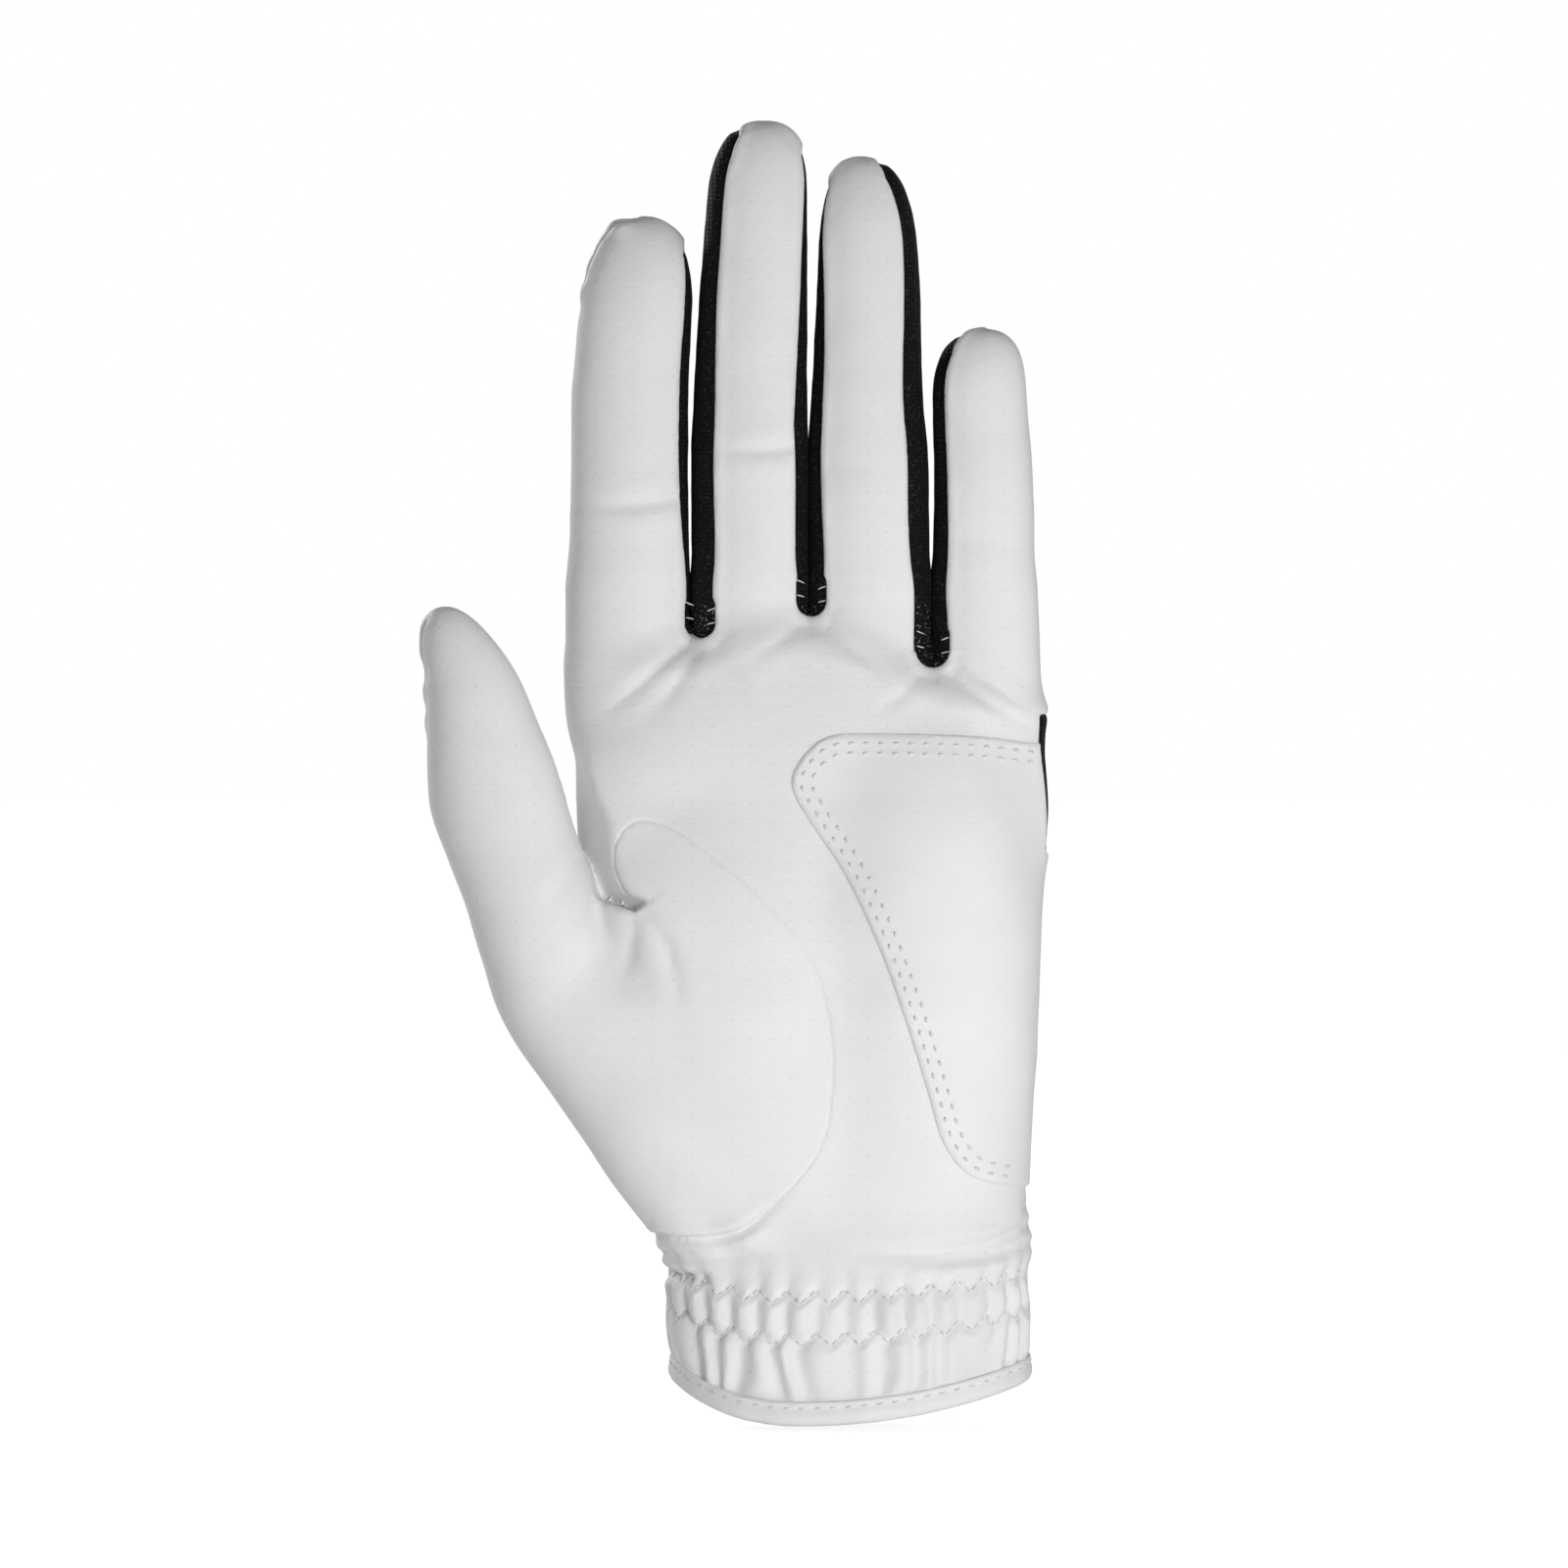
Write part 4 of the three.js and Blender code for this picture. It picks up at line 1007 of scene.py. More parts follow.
class Look:
    """A node material. Its textures follow the place each point has at rest, in metres."""

    def __init__(self, name):
        self.material = bpy.data.materials.new(name)
        self.material.use_nodes = True
        self.tree = self.material.node_tree
        self.shader = self.tree.nodes["Principled BSDF"]
        self.place = self.node("ShaderNodeAttribute", attribute_name="rest").outputs["Vector"]

    def node(self, kind, inputs=None, **settings):
        made = self.tree.nodes.new(kind)
        for key, value in settings.items():
            setattr(made, key, value)
        for key, value in (inputs or {}).items():
            self.join(made.inputs[key], value)
        return made

    def join(self, socket, value):
        if isinstance(value, bpy.types.NodeSocket):
            self.tree.links.new(value, socket)
        else:
            socket.default_value = value

    def stretched(self, scale):
        return self.node("ShaderNodeVectorMath", {0: self.place, 1: scale}, operation="MULTIPLY").outputs[0]

    def noise(self, scale, detail=3.0, stretch=(1, 1, 1), roughness=0.5):
        inputs = {"Vector": self.stretched(stretch), "Scale": scale, "Detail": detail, "Roughness": roughness}
        return self.node("ShaderNodeTexNoise", inputs).outputs["Fac"]

    def wave(self, scale, direction, **inputs):
        inputs = {"Vector": self.place, "Scale": scale, **inputs}
        return self.node("ShaderNodeTexWave", inputs, bands_direction=direction).outputs["Fac"]

    def remap(self, value, low, high, to_low=0.0, to_high=1.0):
        made = self.node("ShaderNodeMapRange", {0: value, 1: low, 2: high, 3: to_low, 4: to_high})
        return made.outputs[0]

    def maths(self, operation, a, b):
        return self.node("ShaderNodeMath", {0: a, 1: b}, operation=operation).outputs[0]

    def mix(self, factor, a, b):
        made = self.node("ShaderNodeMix", data_type="RGBA")
        for socket, value in zip([s for s in made.inputs if s.enabled], (factor, a, b)):
            self.join(socket, value)
        return [s for s in made.outputs if s.enabled][0]

    def bump(self, height, distance, strength=1.0, under=None):
        inputs = {"Height": height, "Distance": distance, "Strength": strength}
        if under is not None:
            inputs["Normal"] = under
        return self.node("ShaderNodeBump", inputs).outputs["Normal"]

    def finish(self, colour, roughness, normal, **values):
        self.join(self.shader.inputs["Base Color"], colour)
        self.join(self.shader.inputs["Roughness"], roughness)
        self.join(self.shader.inputs["Normal"], normal)
        for key, value in values.items():
            self.shader.inputs[key.replace("_", " ")].default_value = value
        return self.material


def grey(value, warm=0.0):
    return (value * (1 + warm), value, value * (1 - warm), 1)


def leather_look(name, light=0.80, warm=0.006, grain=1.0, holes=True):
    look = Look(name)
    cloud = look.noise(55, 4, (1, 1, 1.4))
    colour = look.mix(look.remap(cloud, 0.35, 0.65), grey(light * 0.965, warm), grey(light, warm * 0.5))
    fine = look.noise(900, 3, (0.55, 1, 1.5), 0.6)
    speck = look.remap(fine, 0.3, 0.7, 0.985, 1.0)
    colour = look.mix(speck, grey(light * 0.55, warm), colour)
    apart = look.node("ShaderNodeSeparateXYZ", {0: look.place})
    flat = look.node("ShaderNodeCombineXYZ", {0: apart.outputs[0], 1: apart.outputs[2]}).outputs[0]
    rough = look.remap(cloud, 0.3, 0.7, 0.55, 0.66)
    normal = look.bump(look.noise(140, 4, (1, 1, 1.5)), 0.00035, 0.35 * grain)
    normal = look.bump(fine, 0.00018, 0.5 * grain, normal)
    if holes:
        # Tiny perforations: a dent in the bump, and a darker dot in the colour that is painted shade inside
        # each hole.
        cell = look.node("ShaderNodeTexVoronoi", {"Vector": flat, "Scale": 1 / 0.0035, "Randomness": 0.0},
                         voronoi_dimensions="2D").outputs["Distance"]
        ring = look.remap(cell, 0.02, 0.055)
        colour = look.mix(ring, grey(light * 0.86, warm), colour)
        normal = look.bump(ring, 0.0001, 0.5, normal)
    return look.finish(colour, rough, normal, Sheen_Weight=0.03, Specular_IOR_Level=0.3)


def knit_look(name, glints_and_fuzz=0.0):
    look = Look(name)
    ribs = look.wave(480, "X", Distortion=0.6, Detail=1.0)
    weft = look.wave(420, "Z", Distortion=0.8, Detail=1.0)
    weave = look.maths("MULTIPLY", ribs, weft)
    fuzz = look.noise(1600, 2)
    colour = look.mix(look.remap(weave, 0.1, 0.8), (0.0012, 0.0016, 0.0018, 1), (0.0045, 0.005, 0.0055, 1))
    # Pale glints mixed into the black colour are painted highlights on the knit; the same amount also
    # strengthens the fuzz bump.
    glints = look.remap(look.noise(1900, 1), 0.6, 0.7, 0.0, glints_and_fuzz)
    colour = look.mix(glints, colour, grey(0.22))
    normal = look.bump(weave, 0.00025, 0.7)
    normal = look.bump(fuzz, 0.00012, 0.4 + glints_and_fuzz, normal)
    return look.finish(colour, look.remap(fuzz, 0.3, 0.7, 0.75, 0.92), normal, Sheen_Weight=0.02,
                       Specular_IOR_Level=0.18)


def elastic_look(name):
    look = Look(name)
    ribs = look.wave(160, "Z", Distortion=0.4, Detail=1.0)
    fuzz = look.noise(1300, 3)
    colour = look.mix(ribs, grey(0.5), grey(0.72))
    normal = look.bump(fuzz, 0.0001, 0.4, look.bump(ribs, 0.0004, 0.8))
    return look.finish(colour, look.remap(fuzz, 0.3, 0.7, 0.75, 0.9), normal, Sheen_Weight=0.1)


def thread_look(name, light=0.74):
    look = Look(name)
    twist = look.wave(600, "DIAGONAL", Distortion=0.5)
    colour = look.mix(twist, grey(light * 0.86), grey(light))
    rough = look.remap(look.noise(700, 2), 0.3, 0.7, 0.5, 0.65)
    return look.finish(colour, rough, look.bump(twist, 0.00008, 0.6), Sheen_Weight=0.1)


def pile_look(name, light, coarse):
    look = Look(name)
    tufts = look.node("ShaderNodeTexVoronoi", {"Vector": look.place, "Scale": coarse}).outputs["Distance"]
    fuzz = look.noise(1500, 3)
    colour = look.mix(look.remap(tufts, 0.1, 0.7), grey(light), grey(light * 0.6))
    normal = look.bump(fuzz, 0.0002, 0.6, look.bump(tufts, 0.0006, 0.9))
    return look.finish(colour, look.remap(fuzz, 0.3, 0.7, 0.8, 0.95), normal, Sheen_Weight=0.3)


PALM_LEATHER = leather_look("palm_leather")
BACK_LEATHER = leather_look("back_of_hand_leather")
PATCH_LEATHER = leather_look("patch_leather_look", grain=0.8, holes=False)
BINDING_LEATHER = leather_look("binding_leather_look", grain=0.7, holes=False)
TAB_LEATHER = leather_look("tab_leather_look", grain=0.7, holes=False)
KNIT_BLACK = knit_look("black_knit", glints_and_fuzz=0.12)
WEB_BLACK = knit_look("web_knit", glints_and_fuzz=0.6)
ELASTIC = elastic_look("white_elastic")
THREAD = thread_look("thread_look")
LOOP_PILE = pile_look("loop_pile", 0.62, 900)
HOOK_PILE = pile_look("hook_pile", 0.5, 700)

# ---------------------------------------------------------------- cutting the skin into its panels

member_at = surface.member[surface.triangles].max(1)
centre_at = base[surface.triangles].mean(1)
is_finger = L["base"] == 1
is_black = L["black"] == 1
is_back = L["back"] == 1
is_tip = L["tip"] == 1
on_hand = ~is_finger
is_insert = on_hand & (L["insert"] == 1) & ~is_black
is_thumb = on_hand & (L["thumb"] == 1) & ~is_black & ~is_insert
plain_hand = on_hand & ~is_black & ~is_insert & ~is_thumb

panel("palm_panel", plain_hand & ~is_back, PALM_LEATHER)
panel("back_panel", plain_hand & is_back, BACK_LEATHER)
panel("knuckle_stretch_insert", is_insert, KNIT_BLACK)
panel("thumb_root_palm_side", is_thumb & ~is_back, PALM_LEATHER)
panel("thumb_root_back", is_thumb & is_back, BACK_LEATHER)
web_of = np.abs(centre_at[:, :1] - [w["x"] for w in WEBS]).argmin(1)
for k, web in enumerate(WEBS):
    panel("web_" + web["name"], on_hand & is_black & (web_of == k), WEB_BLACK)

patch_base = patch_field(base, surface.member)
patch_lift = 0.3 + (PATCH_LIFT - 0.3) * smooth_step(patch_base, 0, 0.5)
palm_patch = panel("palm_patch", on_hand & (L["patch"] == 1), PATCH_LEATHER,
                   lift=patch_lift)

HAND_PIECES = ["palm_panel", "back_panel", "knuckle_stretch_insert", "thumb_root_palm_side",
               "thumb_root_back", "palm_patch"] + ["web_" + w["name"] for w in WEBS]
for name in HAND_PIECES:
    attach(MADE[name], "hand")


for k, name in enumerate(NAMES):
    mine = is_finger & (member_at == k)
    right = centre_at[:, 0] > through(FINGERS[name]["centre"], centre_at[:, 2])
    kinds = [("palm_side", ~is_black & ~is_back, PALM_LEATHER, "leather"),
             ("back", ~is_black & is_back, BACK_LEATHER, "back_leather")]
    if 1 in STRIPS[name]:
        kinds.append(("strip_outer", is_black & right, KNIT_BLACK, "stretch_knit"))
    if -1 in STRIPS[name]:
        kinds.append(("strip_inner", is_black & ~right, KNIT_BLACK, "stretch_knit"))
    for part, rows in (("base", mine & ~is_tip), ("tip", mine & is_tip)):
        for kind, where, look, slot in kinds:
            piece = panel(f"{name}_finger_{part}_{kind}", rows & where, look)
            if part == "base":
                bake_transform(piece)
            else:
                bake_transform(piece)

thumb_rows = is_finger & (member_at == THUMB_MEMBER)
for part, rows in (("base", thumb_rows & ~is_tip), ("tip", thumb_rows & is_tip)):
    for side, where, look, slot in (("palm_side", ~is_back, PALM_LEATHER, "leather"),
                                    ("back", is_back, BACK_LEATHER, "back_leather")):
        piece = panel(f"thumb_{part}_{side}", rows & where, look)
        if part == "base":
            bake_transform(piece)
        else:
            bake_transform(piece)

# ---------------------------------------------------------------- swept pieces: bindings and elastic


def sweep(name, frames, profile, material):
    """A closed profile of (out, up) carried along frames of (point, out, up)."""
    points, outs, ups = frames
    prof = np.asarray(profile, float)
    n, m = len(points), prof.shape[-2]
    if prof.ndim == 2:
        prof = np.repeat(prof[None], n, 0)
    vertices = points[:, None] + outs[:, None] * prof[..., :1] + ups[:, None] * prof[..., 1:2]
    vertices = vertices.reshape(-1, 3)
    faces = []
    for i in range(n - 1):
        a, b = i * m, (i + 1) * m
        faces += [(a + j, a + (j + 1) % m, b + (j + 1) % m, b + j) for j in range(m)]
    faces += [tuple(range(m))[::-1], tuple(range((n - 1) * m, n * m))]
    piece = put_mesh(name, vertices, faces, material)
    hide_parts(name)
    return piece


def hem_frames(turns, height=0.0):
    """Frames along the hem, placed as far out as the cuff is at height over it."""
    z = np.full(len(turns), BACK_HEM)
    for _ in range(3):
        p, n = cuff_point(turns, z)
        z = hem_height(p[:, 0], p[:, 1])
    p, n = cuff_point(turns, z + height)
    return p - [0, 0, height], n, np.tile([0.0, 0, 1], (len(p), 1))


def turn_at_slit(side):
    x = SLIT_X + side * (SLIT_HALF + 0.2)
    cx, w, cy, d = hand_section(np.array(BACK_HEM))
    u = (x - cx) / w
    v = (1 - abs(u) ** HAND_POWER) ** (1 / HAND_POWER)
    return float(cuff_turn(np.array(x), cy + d * v, np.array(BACK_HEM)))


SLIT_RIGHT, SLIT_LEFT = turn_at_slit(1), turn_at_slit(-1)
ROUND = np.linspace(SLIT_LEFT - 2 * math.pi, SLIT_RIGHT, 560)
ROUND_WRAPPED = (ROUND + math.pi) % (2 * math.pi) - math.pi

HEM_PROFILE = np.array([(0.1, 3.55), (0.45, 3.85), (0.85, 3.75), (1.05, 3.35), (1.0, 2.95), (0.86, 2.65),
                        (0.95, 2.35), (1.2, 1.8), (1.3, 1.1), (1.22, 0.4), (0.95, -0.15), (0.45, -0.5),
                        (-0.2, -0.6), (-0.9, -0.45), (-1.45, 0), (-1.75, 0.7), (-1.8, 1.6), (-1.7, 2.6),
                        (-1.55, 3.2), (-1.2, 3.35), (-0.95, 3.1), (-0.9, 2), (-0.85, 0.9), (-0.5, 0.45),
                        (-0.1, 0.55), (0.08, 1)])


def hem_binding():
    frames = hem_frames(ROUND_WRAPPED)
    arc = arc_of(ROUND_WRAPPED)
    along = np.stack([arc, 0 * arc, 0 * arc], 1)
    roll = 0.16 * wobble(along, 5, 21) + 0.1 * wobble(along, 2.6, 22)
    palm_side = smooth_step(-frames[0][:, 1], 0, 12)
    profile = np.repeat(HEM_PROFILE[None], len(arc), 0)
    outside = np.clip(profile[..., 0], 0, 1)
    profile[..., 0] += outside * (roll * (0.4 + palm_side))[:, None]
    profile[..., 1] += outside * (0.12 * wobble(along, 7, 23))[:, None]
    return sweep("hem_binding", frames, profile, BINDING_LEATHER)


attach(hem_binding(), "hand")


def back_y(x, z):
    cx, w, cy, d = hand_section(z)
    return cy + d * (1 - np.minimum(np.abs((x - cx) / w), 0.999) ** HAND_POWER) ** (1 / HAND_POWER)


def back_frame(x, z):
    """Points on the back of the hand, and their outward normals."""
    step = 0.2
    y = back_y(x, z)
    dx = (back_y(x + step, z) - back_y(x - step, z)) / (2 * step)
    dz = (back_y(x, z + step) - back_y(x, z - step)) / (2 * step)
    n = np.stack([-dx, np.ones_like(y), -dz], -1)
    n /= np.linalg.norm(n, axis=-1, keepdims=True)
    return np.stack([x, y, z], -1), n


SLIT_PROFILE = [(2.2, 0.12), (2.2, 0.6), (1.8, 0.9), (0.7, 1.0), (-0.2, 0.8), (-0.55, 0.1), (-0.45, -0.8),
                (0.2, -1.4), (1.9, -1.5), (2.1, -0.95), (0.4, -0.85), (0.15, 0)]


def slit_binding():
    rise = np.linspace(BACK_HEM + 2.5, SLIT_TOP - SLIT_HALF, 60)
    turn = np.linspace(0, math.pi, 13)[1:-1]
    x = np.concatenate([np.full(60, SLIT_X - SLIT_HALF), SLIT_X - SLIT_HALF * np.cos(turn),
                        np.full(60, SLIT_X + SLIT_HALF)])
    z = np.concatenate([rise, SLIT_TOP - SLIT_HALF + SLIT_HALF * np.sin(turn), rise[::-1]])
    p, n = back_frame(x, z)
    away = np.stack([x - SLIT_X, 0 * x, np.maximum(z - SLIT_TOP + SLIT_HALF, 0)], -1)
    away -= (away * n).sum(-1, keepdims=True) * n
    away /= np.linalg.norm(away, axis=-1, keepdims=True)
    return sweep("slit_binding", (p, away, n), SLIT_PROFILE, BINDING_LEATHER)


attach(slit_binding(), "hand")


def wrist_elastic():
    reach = GATHERS / 2 * ZIGZAG_PITCH + 4
    arc = np.linspace(-reach, reach, 320) + GATHER_SHIFT
    frames = hem_frames(turn_of(arc), 8.0)
    wave = 0.22 * np.sin(2 * math.pi * arc / 1.7)
    low, high = 5.4, 19.6
    outside, inside = -LEATHER - 0.9, -LEATHER - 1.9
    rows = np.linspace(low, high, 19)
    ribs = 0.12 * np.cos(2 * math.pi * (rows - low) / 1.6)
    profile = np.concatenate([np.stack([outside + 0 * rows, rows], 1),
                              np.stack([inside - ribs, rows], 1)[::-1]])
    profile = np.repeat(profile[None], len(arc), 0)
    profile[..., 0] += wave[:, None]
    return sweep("wrist_elastic", frames, profile, ELASTIC)


elastic_band = wrist_elastic()
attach(elastic_band, "hand")

# ---------------------------------------------------------------- the closure on the back

TAB_FREE, TAB_SEWN = -27.0, 19.0
TAB_LOW, TAB_HIGH = 30.0, 54.0
TAB_HINGE = 11.0
LOOP = (-24.0, -7.0)
TAB_CORNER = 8.0


def outline_half(x, free, sewn, half, corner):
    """Half height of a strap with round corners at its free end and small ones at its sewn end."""
    near_free = np.clip((free + corner - x) / corner, 0, 1)
    near_sewn = np.clip((x - sewn + 2) / 2, 0, 1)
    return (half - corner) + corner * np.sqrt(np.maximum(1 - near_free ** 2, 0)) - 2 * (
        1 - np.sqrt(np.maximum(1 - near_sewn ** 2, 0)))


def strap(name, x0, x1, half, corner, lift, thick, material, pile=0.0, n=72, m=26):
    """A flat piece over the back: x0 is its free end, lift its underside's height over the hand."""
    t = 0.5 - 0.5 * np.cos(np.linspace(0, math.pi, n))
    x = x0 + (x1 - x0) * t
    v = np.sin(np.linspace(-math.pi / 2, math.pi / 2, m))
    X = np.repeat(x[:, None], m, 1)
    Z = (TAB_LOW + TAB_HIGH) / 2 + outline_half(X, x0, x1, half, corner) * v[None]
    p, normal = back_frame(X, Z)
    edge = np.minimum(np.minimum(X - x0, x1 - X), half * (1 - np.abs(v[None])))
    round_off = 0.35 * thick * (1 - smooth_step(edge, 0, 0.9))
    low = lift(X)
    bumps = pile * np.random.default_rng(5).uniform(-1, 1, X.shape)
    top = p + normal * (low + thick - round_off + bumps)[..., None]
    bottom = p + normal * (low + round_off)[..., None]
    vertices = np.concatenate([top.reshape(-1, 3), bottom.reshape(-1, 3)])
    k = n * m
    faces = []
    for i in range(n - 1):
        for j in range(m - 1):
            a = i * m + j
            faces.append((a, a + 1, a + m + 1, a + m))
            faces.append((k + a, k + a + m, k + a + m + 1, k + a + 1))
    loop = [i * m for i in range(n)] + [(n - 1) * m + j for j in range(1, m)]
    loop += [i * m + m - 1 for i in range(n - 2, -1, -1)] + [j for j in range(m - 2, 0, -1)]
    faces += [(loop[i], loop[(i + 1) % len(loop)], k + loop[(i + 1) % len(loop)], k + loop[i])
              for i in range(len(loop))]
    piece = put_mesh(name, vertices, faces, material)
    return piece


def tab_lift(x):
    return 0.25 + 2.5 * (1 - smooth_step(x, 4, 15))


closure = strap("closure_tab", TAB_FREE, TAB_SEWN, 12, TAB_CORNER, tab_lift, 1.3, TAB_LEATHER)
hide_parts("closure_tab", "tab_sewn_end")
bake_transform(closure)
loop_pad = strap("loop_pad", LOOP[0], LOOP[1], 10, 2.5, lambda x: 0.1, 1.2, LOOP_PILE,
                 pile=0.12, n=60, m=40)
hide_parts("loop_pad")
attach(loop_pad, "hand")
hook_pad = strap("hook_pad", TAB_FREE + 2.5, LOOP[1], 9.5, 5, lambda x: 1.45, 1.25, HOOK_PILE,
                 pile=0.08, n=60, m=40)
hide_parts("hook_pad")
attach(hook_pad, "tab")

# ---------------------------------------------------------------- stitches

RAY_START = 60.0


def stitch_mesh(runs, radius, rings=6, sides=6):
    """Thread segments. Each run is (start, end, start normal, end normal)."""
    start, end, n0, n1 = (np.array(a, float) for a in zip(*runs))
    t = np.linspace(0, 1, rings)
    n = n0 + n1
    n /= np.linalg.norm(n, axis=1, keepdims=True)
    along = end - start
    length = np.linalg.norm(along, axis=1, keepdims=True)
    side = np.cross(along / length, n)
    arch = (np.sin(math.pi * t) ** 0.6 * 1.25 - 0.55) * radius
    size = radius * (0.45 + 0.55 * np.sin(math.pi * t) ** 0.5)
    centre = start[:, None] + along[:, None] * t[None, :, None] + n[:, None] * arch[None, :, None]
    turn = np.linspace(0, 2 * math.pi, sides, endpoint=False)
    ring = (side[:, None, None] * np.cos(turn)[None, None, :, None]
            + n[:, None, None] * np.sin(turn)[None, None, :, None]) * size[None, :, None, None]
    vertices = (centre[:, :, None] + ring).reshape(-1, 3)
    faces = []
    for s in range(len(runs)):
        at = s * rings * sides
        for i in range(rings - 1):
            for j in range(sides):
                a, b = at + i * sides + j, at + i * sides + (j + 1) % sides
                faces.append((a, b, b + sides, a + sides))
        faces.append(tuple(at + j for j in range(sides))[::-1])
        faces.append(tuple(at + (rings - 1) * sides + j for j in range(sides)))
    return vertices, faces


def stitches(name, runs, node, radius=0.26):
    """A row of stitches as one piece, which stands for a CAD node where there is one."""
    vertices, faces = stitch_mesh(runs, radius)
    piece = put_mesh(name, vertices, faces, THREAD)
    if node:
        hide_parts(node)
    return piece


def tree_of(piece):
    mesh = piece.data
    return BVHTree.FromPolygons([v.co / MM for v in mesh.vertices], [p.vertices[:] for p in mesh.polygons])


def hit(tree, origin, direction):
    place, normal, _, _ = tree.ray_cast(Vector(origin), Vector(direction).normalized())
    if place is None:
        return None
    normal = np.array(normal)
    return np.array(place), normal if normal @ np.array(direction) < 0 else -normal


def add_run(runs, ends):
    """Adds a stitch between two hits, unless a ray missed."""
    if ends[0] and ends[1]:
        runs.append((ends[0][0], ends[1][0], ends[0][1], ends[1][1]))


def runs_along(points, pitch, dash, tree, direction=(0, 1, 0)):
    """Stitches along a line of (x, z), laid on a surface seen along direction."""
    line = np.array(points, float)
    length = np.concatenate([[0], np.cumsum(np.linalg.norm(np.diff(line, axis=0), axis=1))])
    d = np.array(direction, float)
    out = []
    for s in np.arange(pitch / 2, length[-1] - dash, pitch):
        ends = []
        for at in (s, s + dash):
            x, z = np.interp(at, length, line[:, 0]), np.interp(at, length, line[:, 1])
            ends.append(hit(tree, np.array([x, 0, z]) - d * RAY_START, d))
        if ends[0] and ends[1] and np.linalg.norm(ends[0][0] - ends[1][0]) < 2 * dash:
            add_run(out, ends)
    return out


def inset_line(points, distance):
    """A line moved sideways by distance."""
    line = np.array(points, float)
    tangent = np.gradient(line, axis=0)
    tangent /= np.linalg.norm(tangent, axis=1, keepdims=True)
    return line + distance * np.stack([-tangent[:, 1], tangent[:, 0]], 1)


patch_tree = tree_of(palm_patch)
patch_edge = [q for q in PATCH_AREA if q[0] < 36]
for node, distance in (("patch_stitching_outer", 1.7), ("patch_stitching_inner", 3.5)):
    runs = runs_along(inset_line(patch_edge, distance), 2.7, 1.25, patch_tree)
    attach(stitches(node, runs, node), "hand")


def cuff_runs(dash_points, tree):
    """Stitches on the cuff between pairs of (arc, height) points."""
    out = []
    for (a0, z0), (a1, z1) in dash_points:
        ends = []
        for a, z in ((a0, z0), (a1, z1)):
            p, n = cuff_point(turn_of(a), z)
            ends.append(hit(tree, p + n * 8, -n))
        add_run(out, ends)
    return out


def zigzag_runs(row):
    """Each leg of the zigzag is two short stitches."""
    legs = []
    across = ZIGZAG_PITCH / 2
    first = GATHER_SHIFT - GATHERS / 2 * ZIGZAG_PITCH
    for k in range(2 * GATHERS):
        a0, a1 = first + k * across, first + (k + 1) * across
        for s0, s1 in ((0.06, 0.45), (0.56, 0.95)):
            pair = []
            for s in (s0, s1):
                a = a0 + (a1 - a0) * s
                p, _ = cuff_point(turn_of(a), 18.0)
                pair.append((a, row_height(row, p[0], p[1]) + zigzag_offset(a)))
            legs.append(tuple(pair))
    return cuff_runs(legs, skin)


for row, node in ((0, "zigzag_stitching_upper"), (1, "zigzag_stitching_lower")):
    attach(stitches(node, zigzag_runs(row), node, radius=0.2), "hand")


def hem_runs():
    tree = tree_of(MADE["hem_binding"])
    arcs = np.unwrap(ROUND_WRAPPED)
    steps = np.abs(np.diff(arc_of(ROUND_WRAPPED)))
    total = np.concatenate([[0], np.cumsum(steps * (steps < 5))])
    out = []
    for s in np.arange(1.5, total[-1] - 2, 2.9):
        ends = []
        for at in (s, s + 1.4):
            turn = np.interp(at, total, arcs)
            p, n, _ = hem_frames(np.array([turn]))
            ends.append(hit(tree, p[0] + [0, 0, 2.68] + n[0] * 8, -n[0]))
        add_run(out, ends)
    return out


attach(stitches("hem_stitching", hem_runs(), "hem_stitching", radius=0.22), "hand")


def tab_runs():
    tree = tree_of(closure)
    inset = 2.0
    near, far = TAB_HINGE - 1, TAB_FREE + inset
    x = np.concatenate([np.linspace(near, far, 60), np.linspace(far, near, 60)])
    half = outline_half(x, TAB_FREE + inset, 60, 12 - inset, TAB_CORNER - inset)
    middle = (TAB_LOW + TAB_HIGH) / 2
    z = middle + np.concatenate([half[:60], -half[60:]])
    return runs_along(np.stack([x, z], 1), 2.6, 1.3, tree, (0, -1, 0))


tab_stitching = stitches("tab_stitching", tab_runs(), "tab_stitching")
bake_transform(tab_stitching)


def tack_runs(web):
    """Short pale threads that catch the tongue's edges to the leather."""
    out = []
    for side in (-1, 1):
        for k, rise in enumerate((3.6, 6.3) if side < 0 else (2.6, 5.2)):
            x0 = web["x"] + side * (web["half"] + 0.25)
            x1 = web["x"] + side * (web["half"] - 1.3)
            z0 = web["start"] + rise
            places = ((x0, z0), (x1, z0 - 0.35 - 0.25 * k))
            ends = [hit(skin, (x, -RAY_START, z), (0, 1, 0)) for x, z in places]
            add_run(out, ends)
    return out


all_tacks = [run for web in WEBS for run in tack_runs(web)]
tacks = stitches("web_tacks", all_tacks, None, radius=0.13)
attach(tacks, "hand")

# ---------------------------------------------------------------- floor, light and camera


def area_light(name, place, size, power, aim, spread):
    data = bpy.data.lights.new(name, "AREA")
    data.shape = "SQUARE"
    data.size = size
    data.energy = power
    data.spread = math.radians(spread)
    lamp = bpy.data.objects.new(name, data)
    bpy.context.scene.collection.objects.link(lamp)
    lamp.location = place
    lamp.rotation_euler = (Vector((0, 0, aim)) - Vector(place)).to_track_quat("-Z", "Y").to_euler()


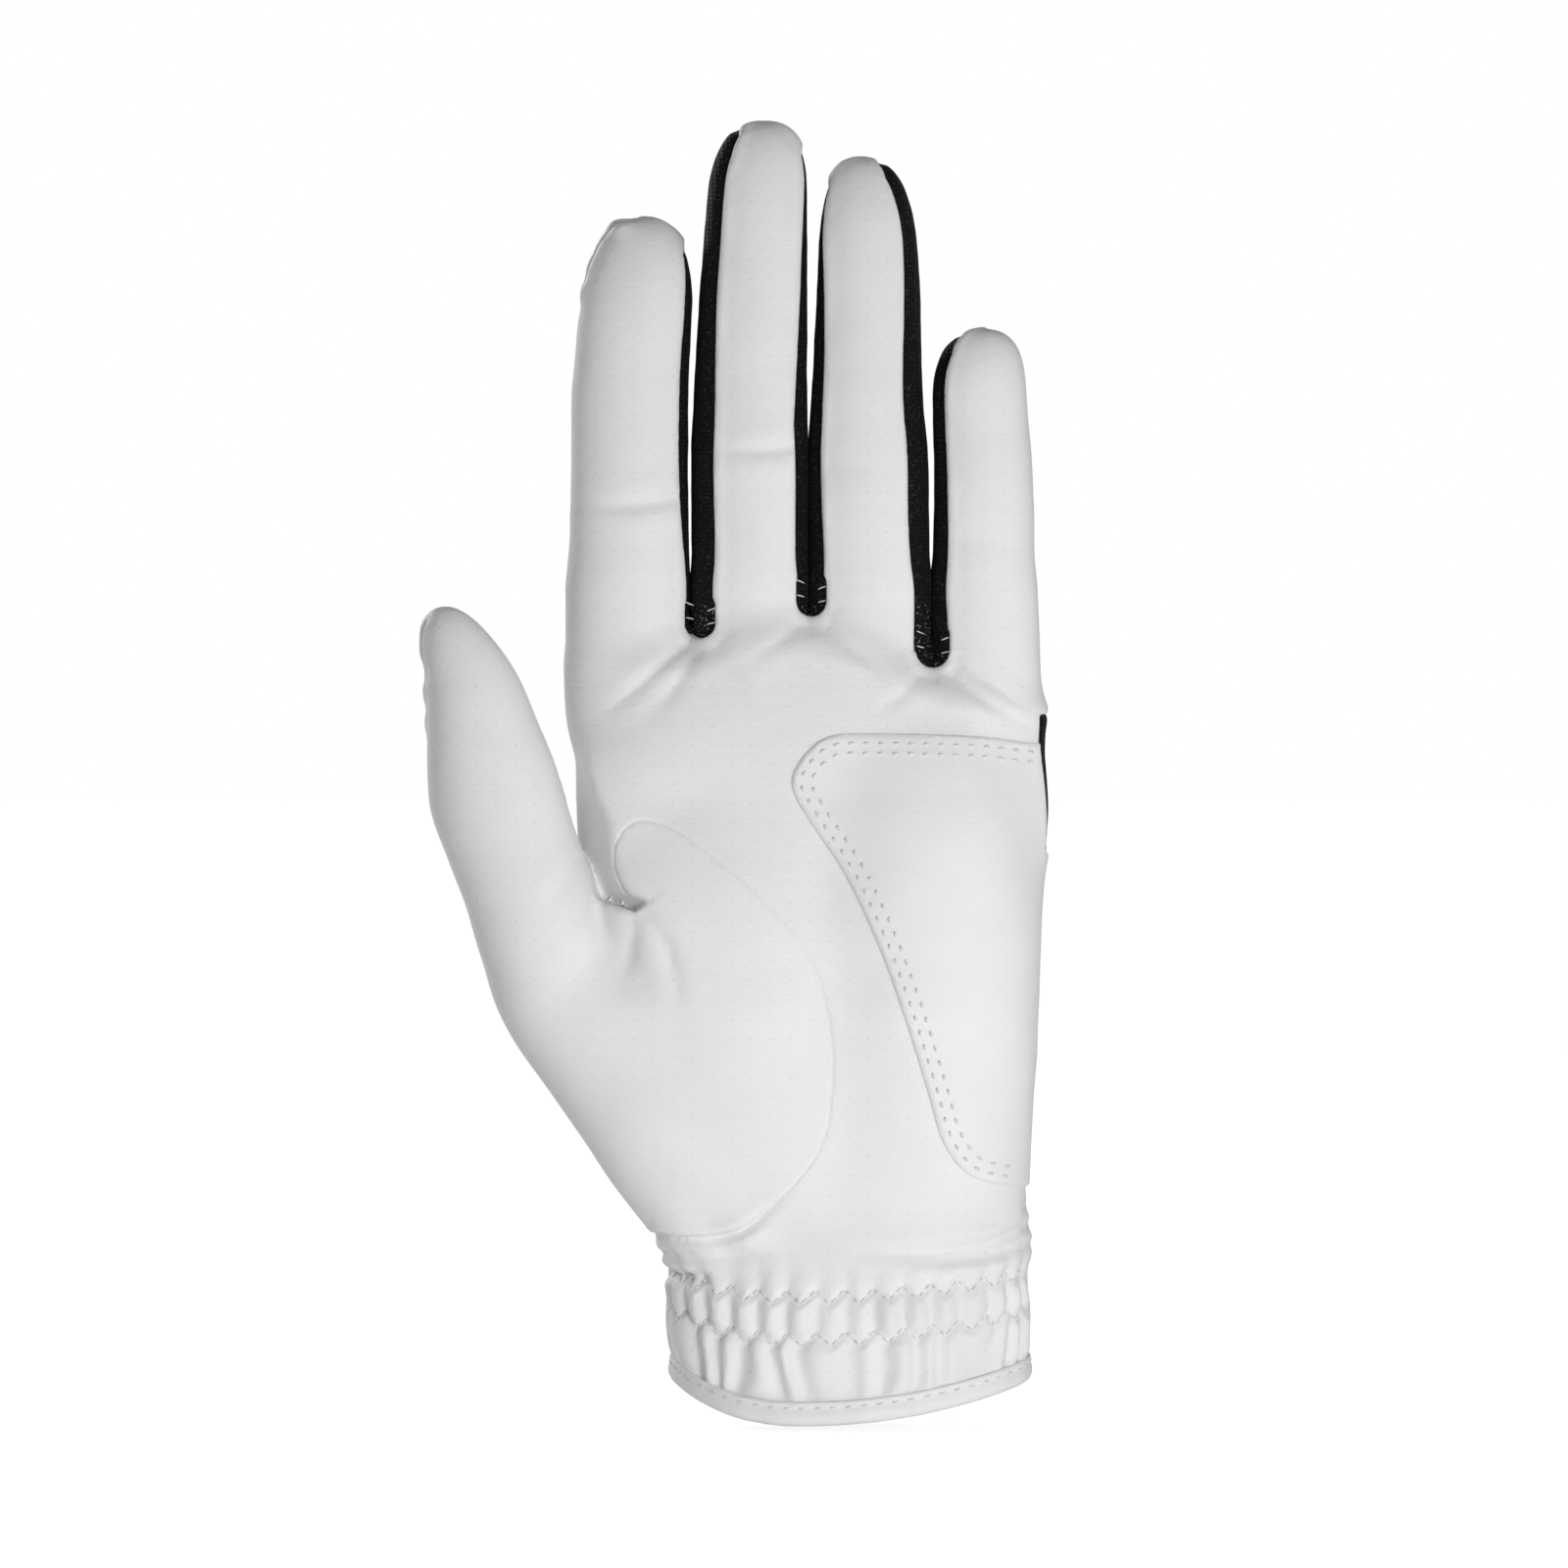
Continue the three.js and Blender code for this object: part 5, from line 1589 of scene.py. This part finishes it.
def make_floor():
    look = Look("floor_white")
    paint = look.mix(look.noise(3, 3), grey(0.92), grey(0.95))
    floor_material = look.finish(paint, look.remap(look.noise(40, 2), 0.3, 0.7, 0.6, 0.7),
                                 look.bump(look.noise(300, 2), 0.0002, 0.1))
    seen = look.node("ShaderNodeLightPath").outputs["Is Camera Ray"]
    look.shader.inputs["Emission Color"].default_value = (1, 1, 1, 1)
    look.join(look.shader.inputs["Emission Strength"], look.remap(seen, 0, 1, FLOOR_LIGHT, FLOOR_GLOW))
    reach = 60
    z = float(cad_box[0][2]) - 0.0005
    mesh = bpy.data.meshes.new("floor")
    mesh.from_pydata([(-reach, -reach, z), (reach, -reach, z), (reach, reach, z), (-reach, reach, z)], [],
                     [(0, 1, 2, 3)])
    mesh.materials.append(floor_material)
    floor = bpy.data.objects.new("floor", mesh)
    bpy.context.scene.collection.objects.link(floor)


SKY_LIGHT = 0.22
FLOOR_GLOW = 0.8
FLOOR_LIGHT = 0.19

make_floor()
world = bpy.data.worlds.new("studio")
bpy.context.scene.world = world
world.use_nodes = True
sky = world.node_tree
seen = sky.nodes.new("ShaderNodeLightPath").outputs["Is Camera Ray"]
glow = sky.nodes.new("ShaderNodeMapRange")
glow.inputs[3].default_value = SKY_LIGHT
glow.inputs[4].default_value = 1.0
sky.links.new(seen, glow.inputs[0])
sky.links.new(glow.outputs[0], sky.nodes["Background"].inputs[1])
sky.nodes["Background"].inputs[0].default_value = (1, 1, 1, 1)
# Lamps: place in metres, size, power, the height they aim at, and their spread in degrees.
area_light("key", (1.0, -0.95, 0.08), size=0.3, power=2.0, aim=0.11, spread=180)
area_light("palm", (0.2, -0.57, 0.07), size=0.16, power=0.40, aim=0.085, spread=80)
area_light("back", (-0.9, 1.1, 0.7), size=0.3, power=9.0, aim=0.11, spread=180)

camera_data = bpy.data.cameras.new("camera")
camera_data.sensor_width = 36
camera_data.lens = 203
camera_data.clip_start = 0.05
camera_data.clip_end = 500
camera = bpy.data.objects.new("camera", camera_data)
bpy.context.scene.collection.objects.link(camera)
camera.location = (-0.01153, -1.6, 0.1155)
camera.rotation_euler = (math.pi / 2, 0, 0)
bpy.context.scene.camera = camera
bpy.context.scene.view_settings.view_transform = "Standard"
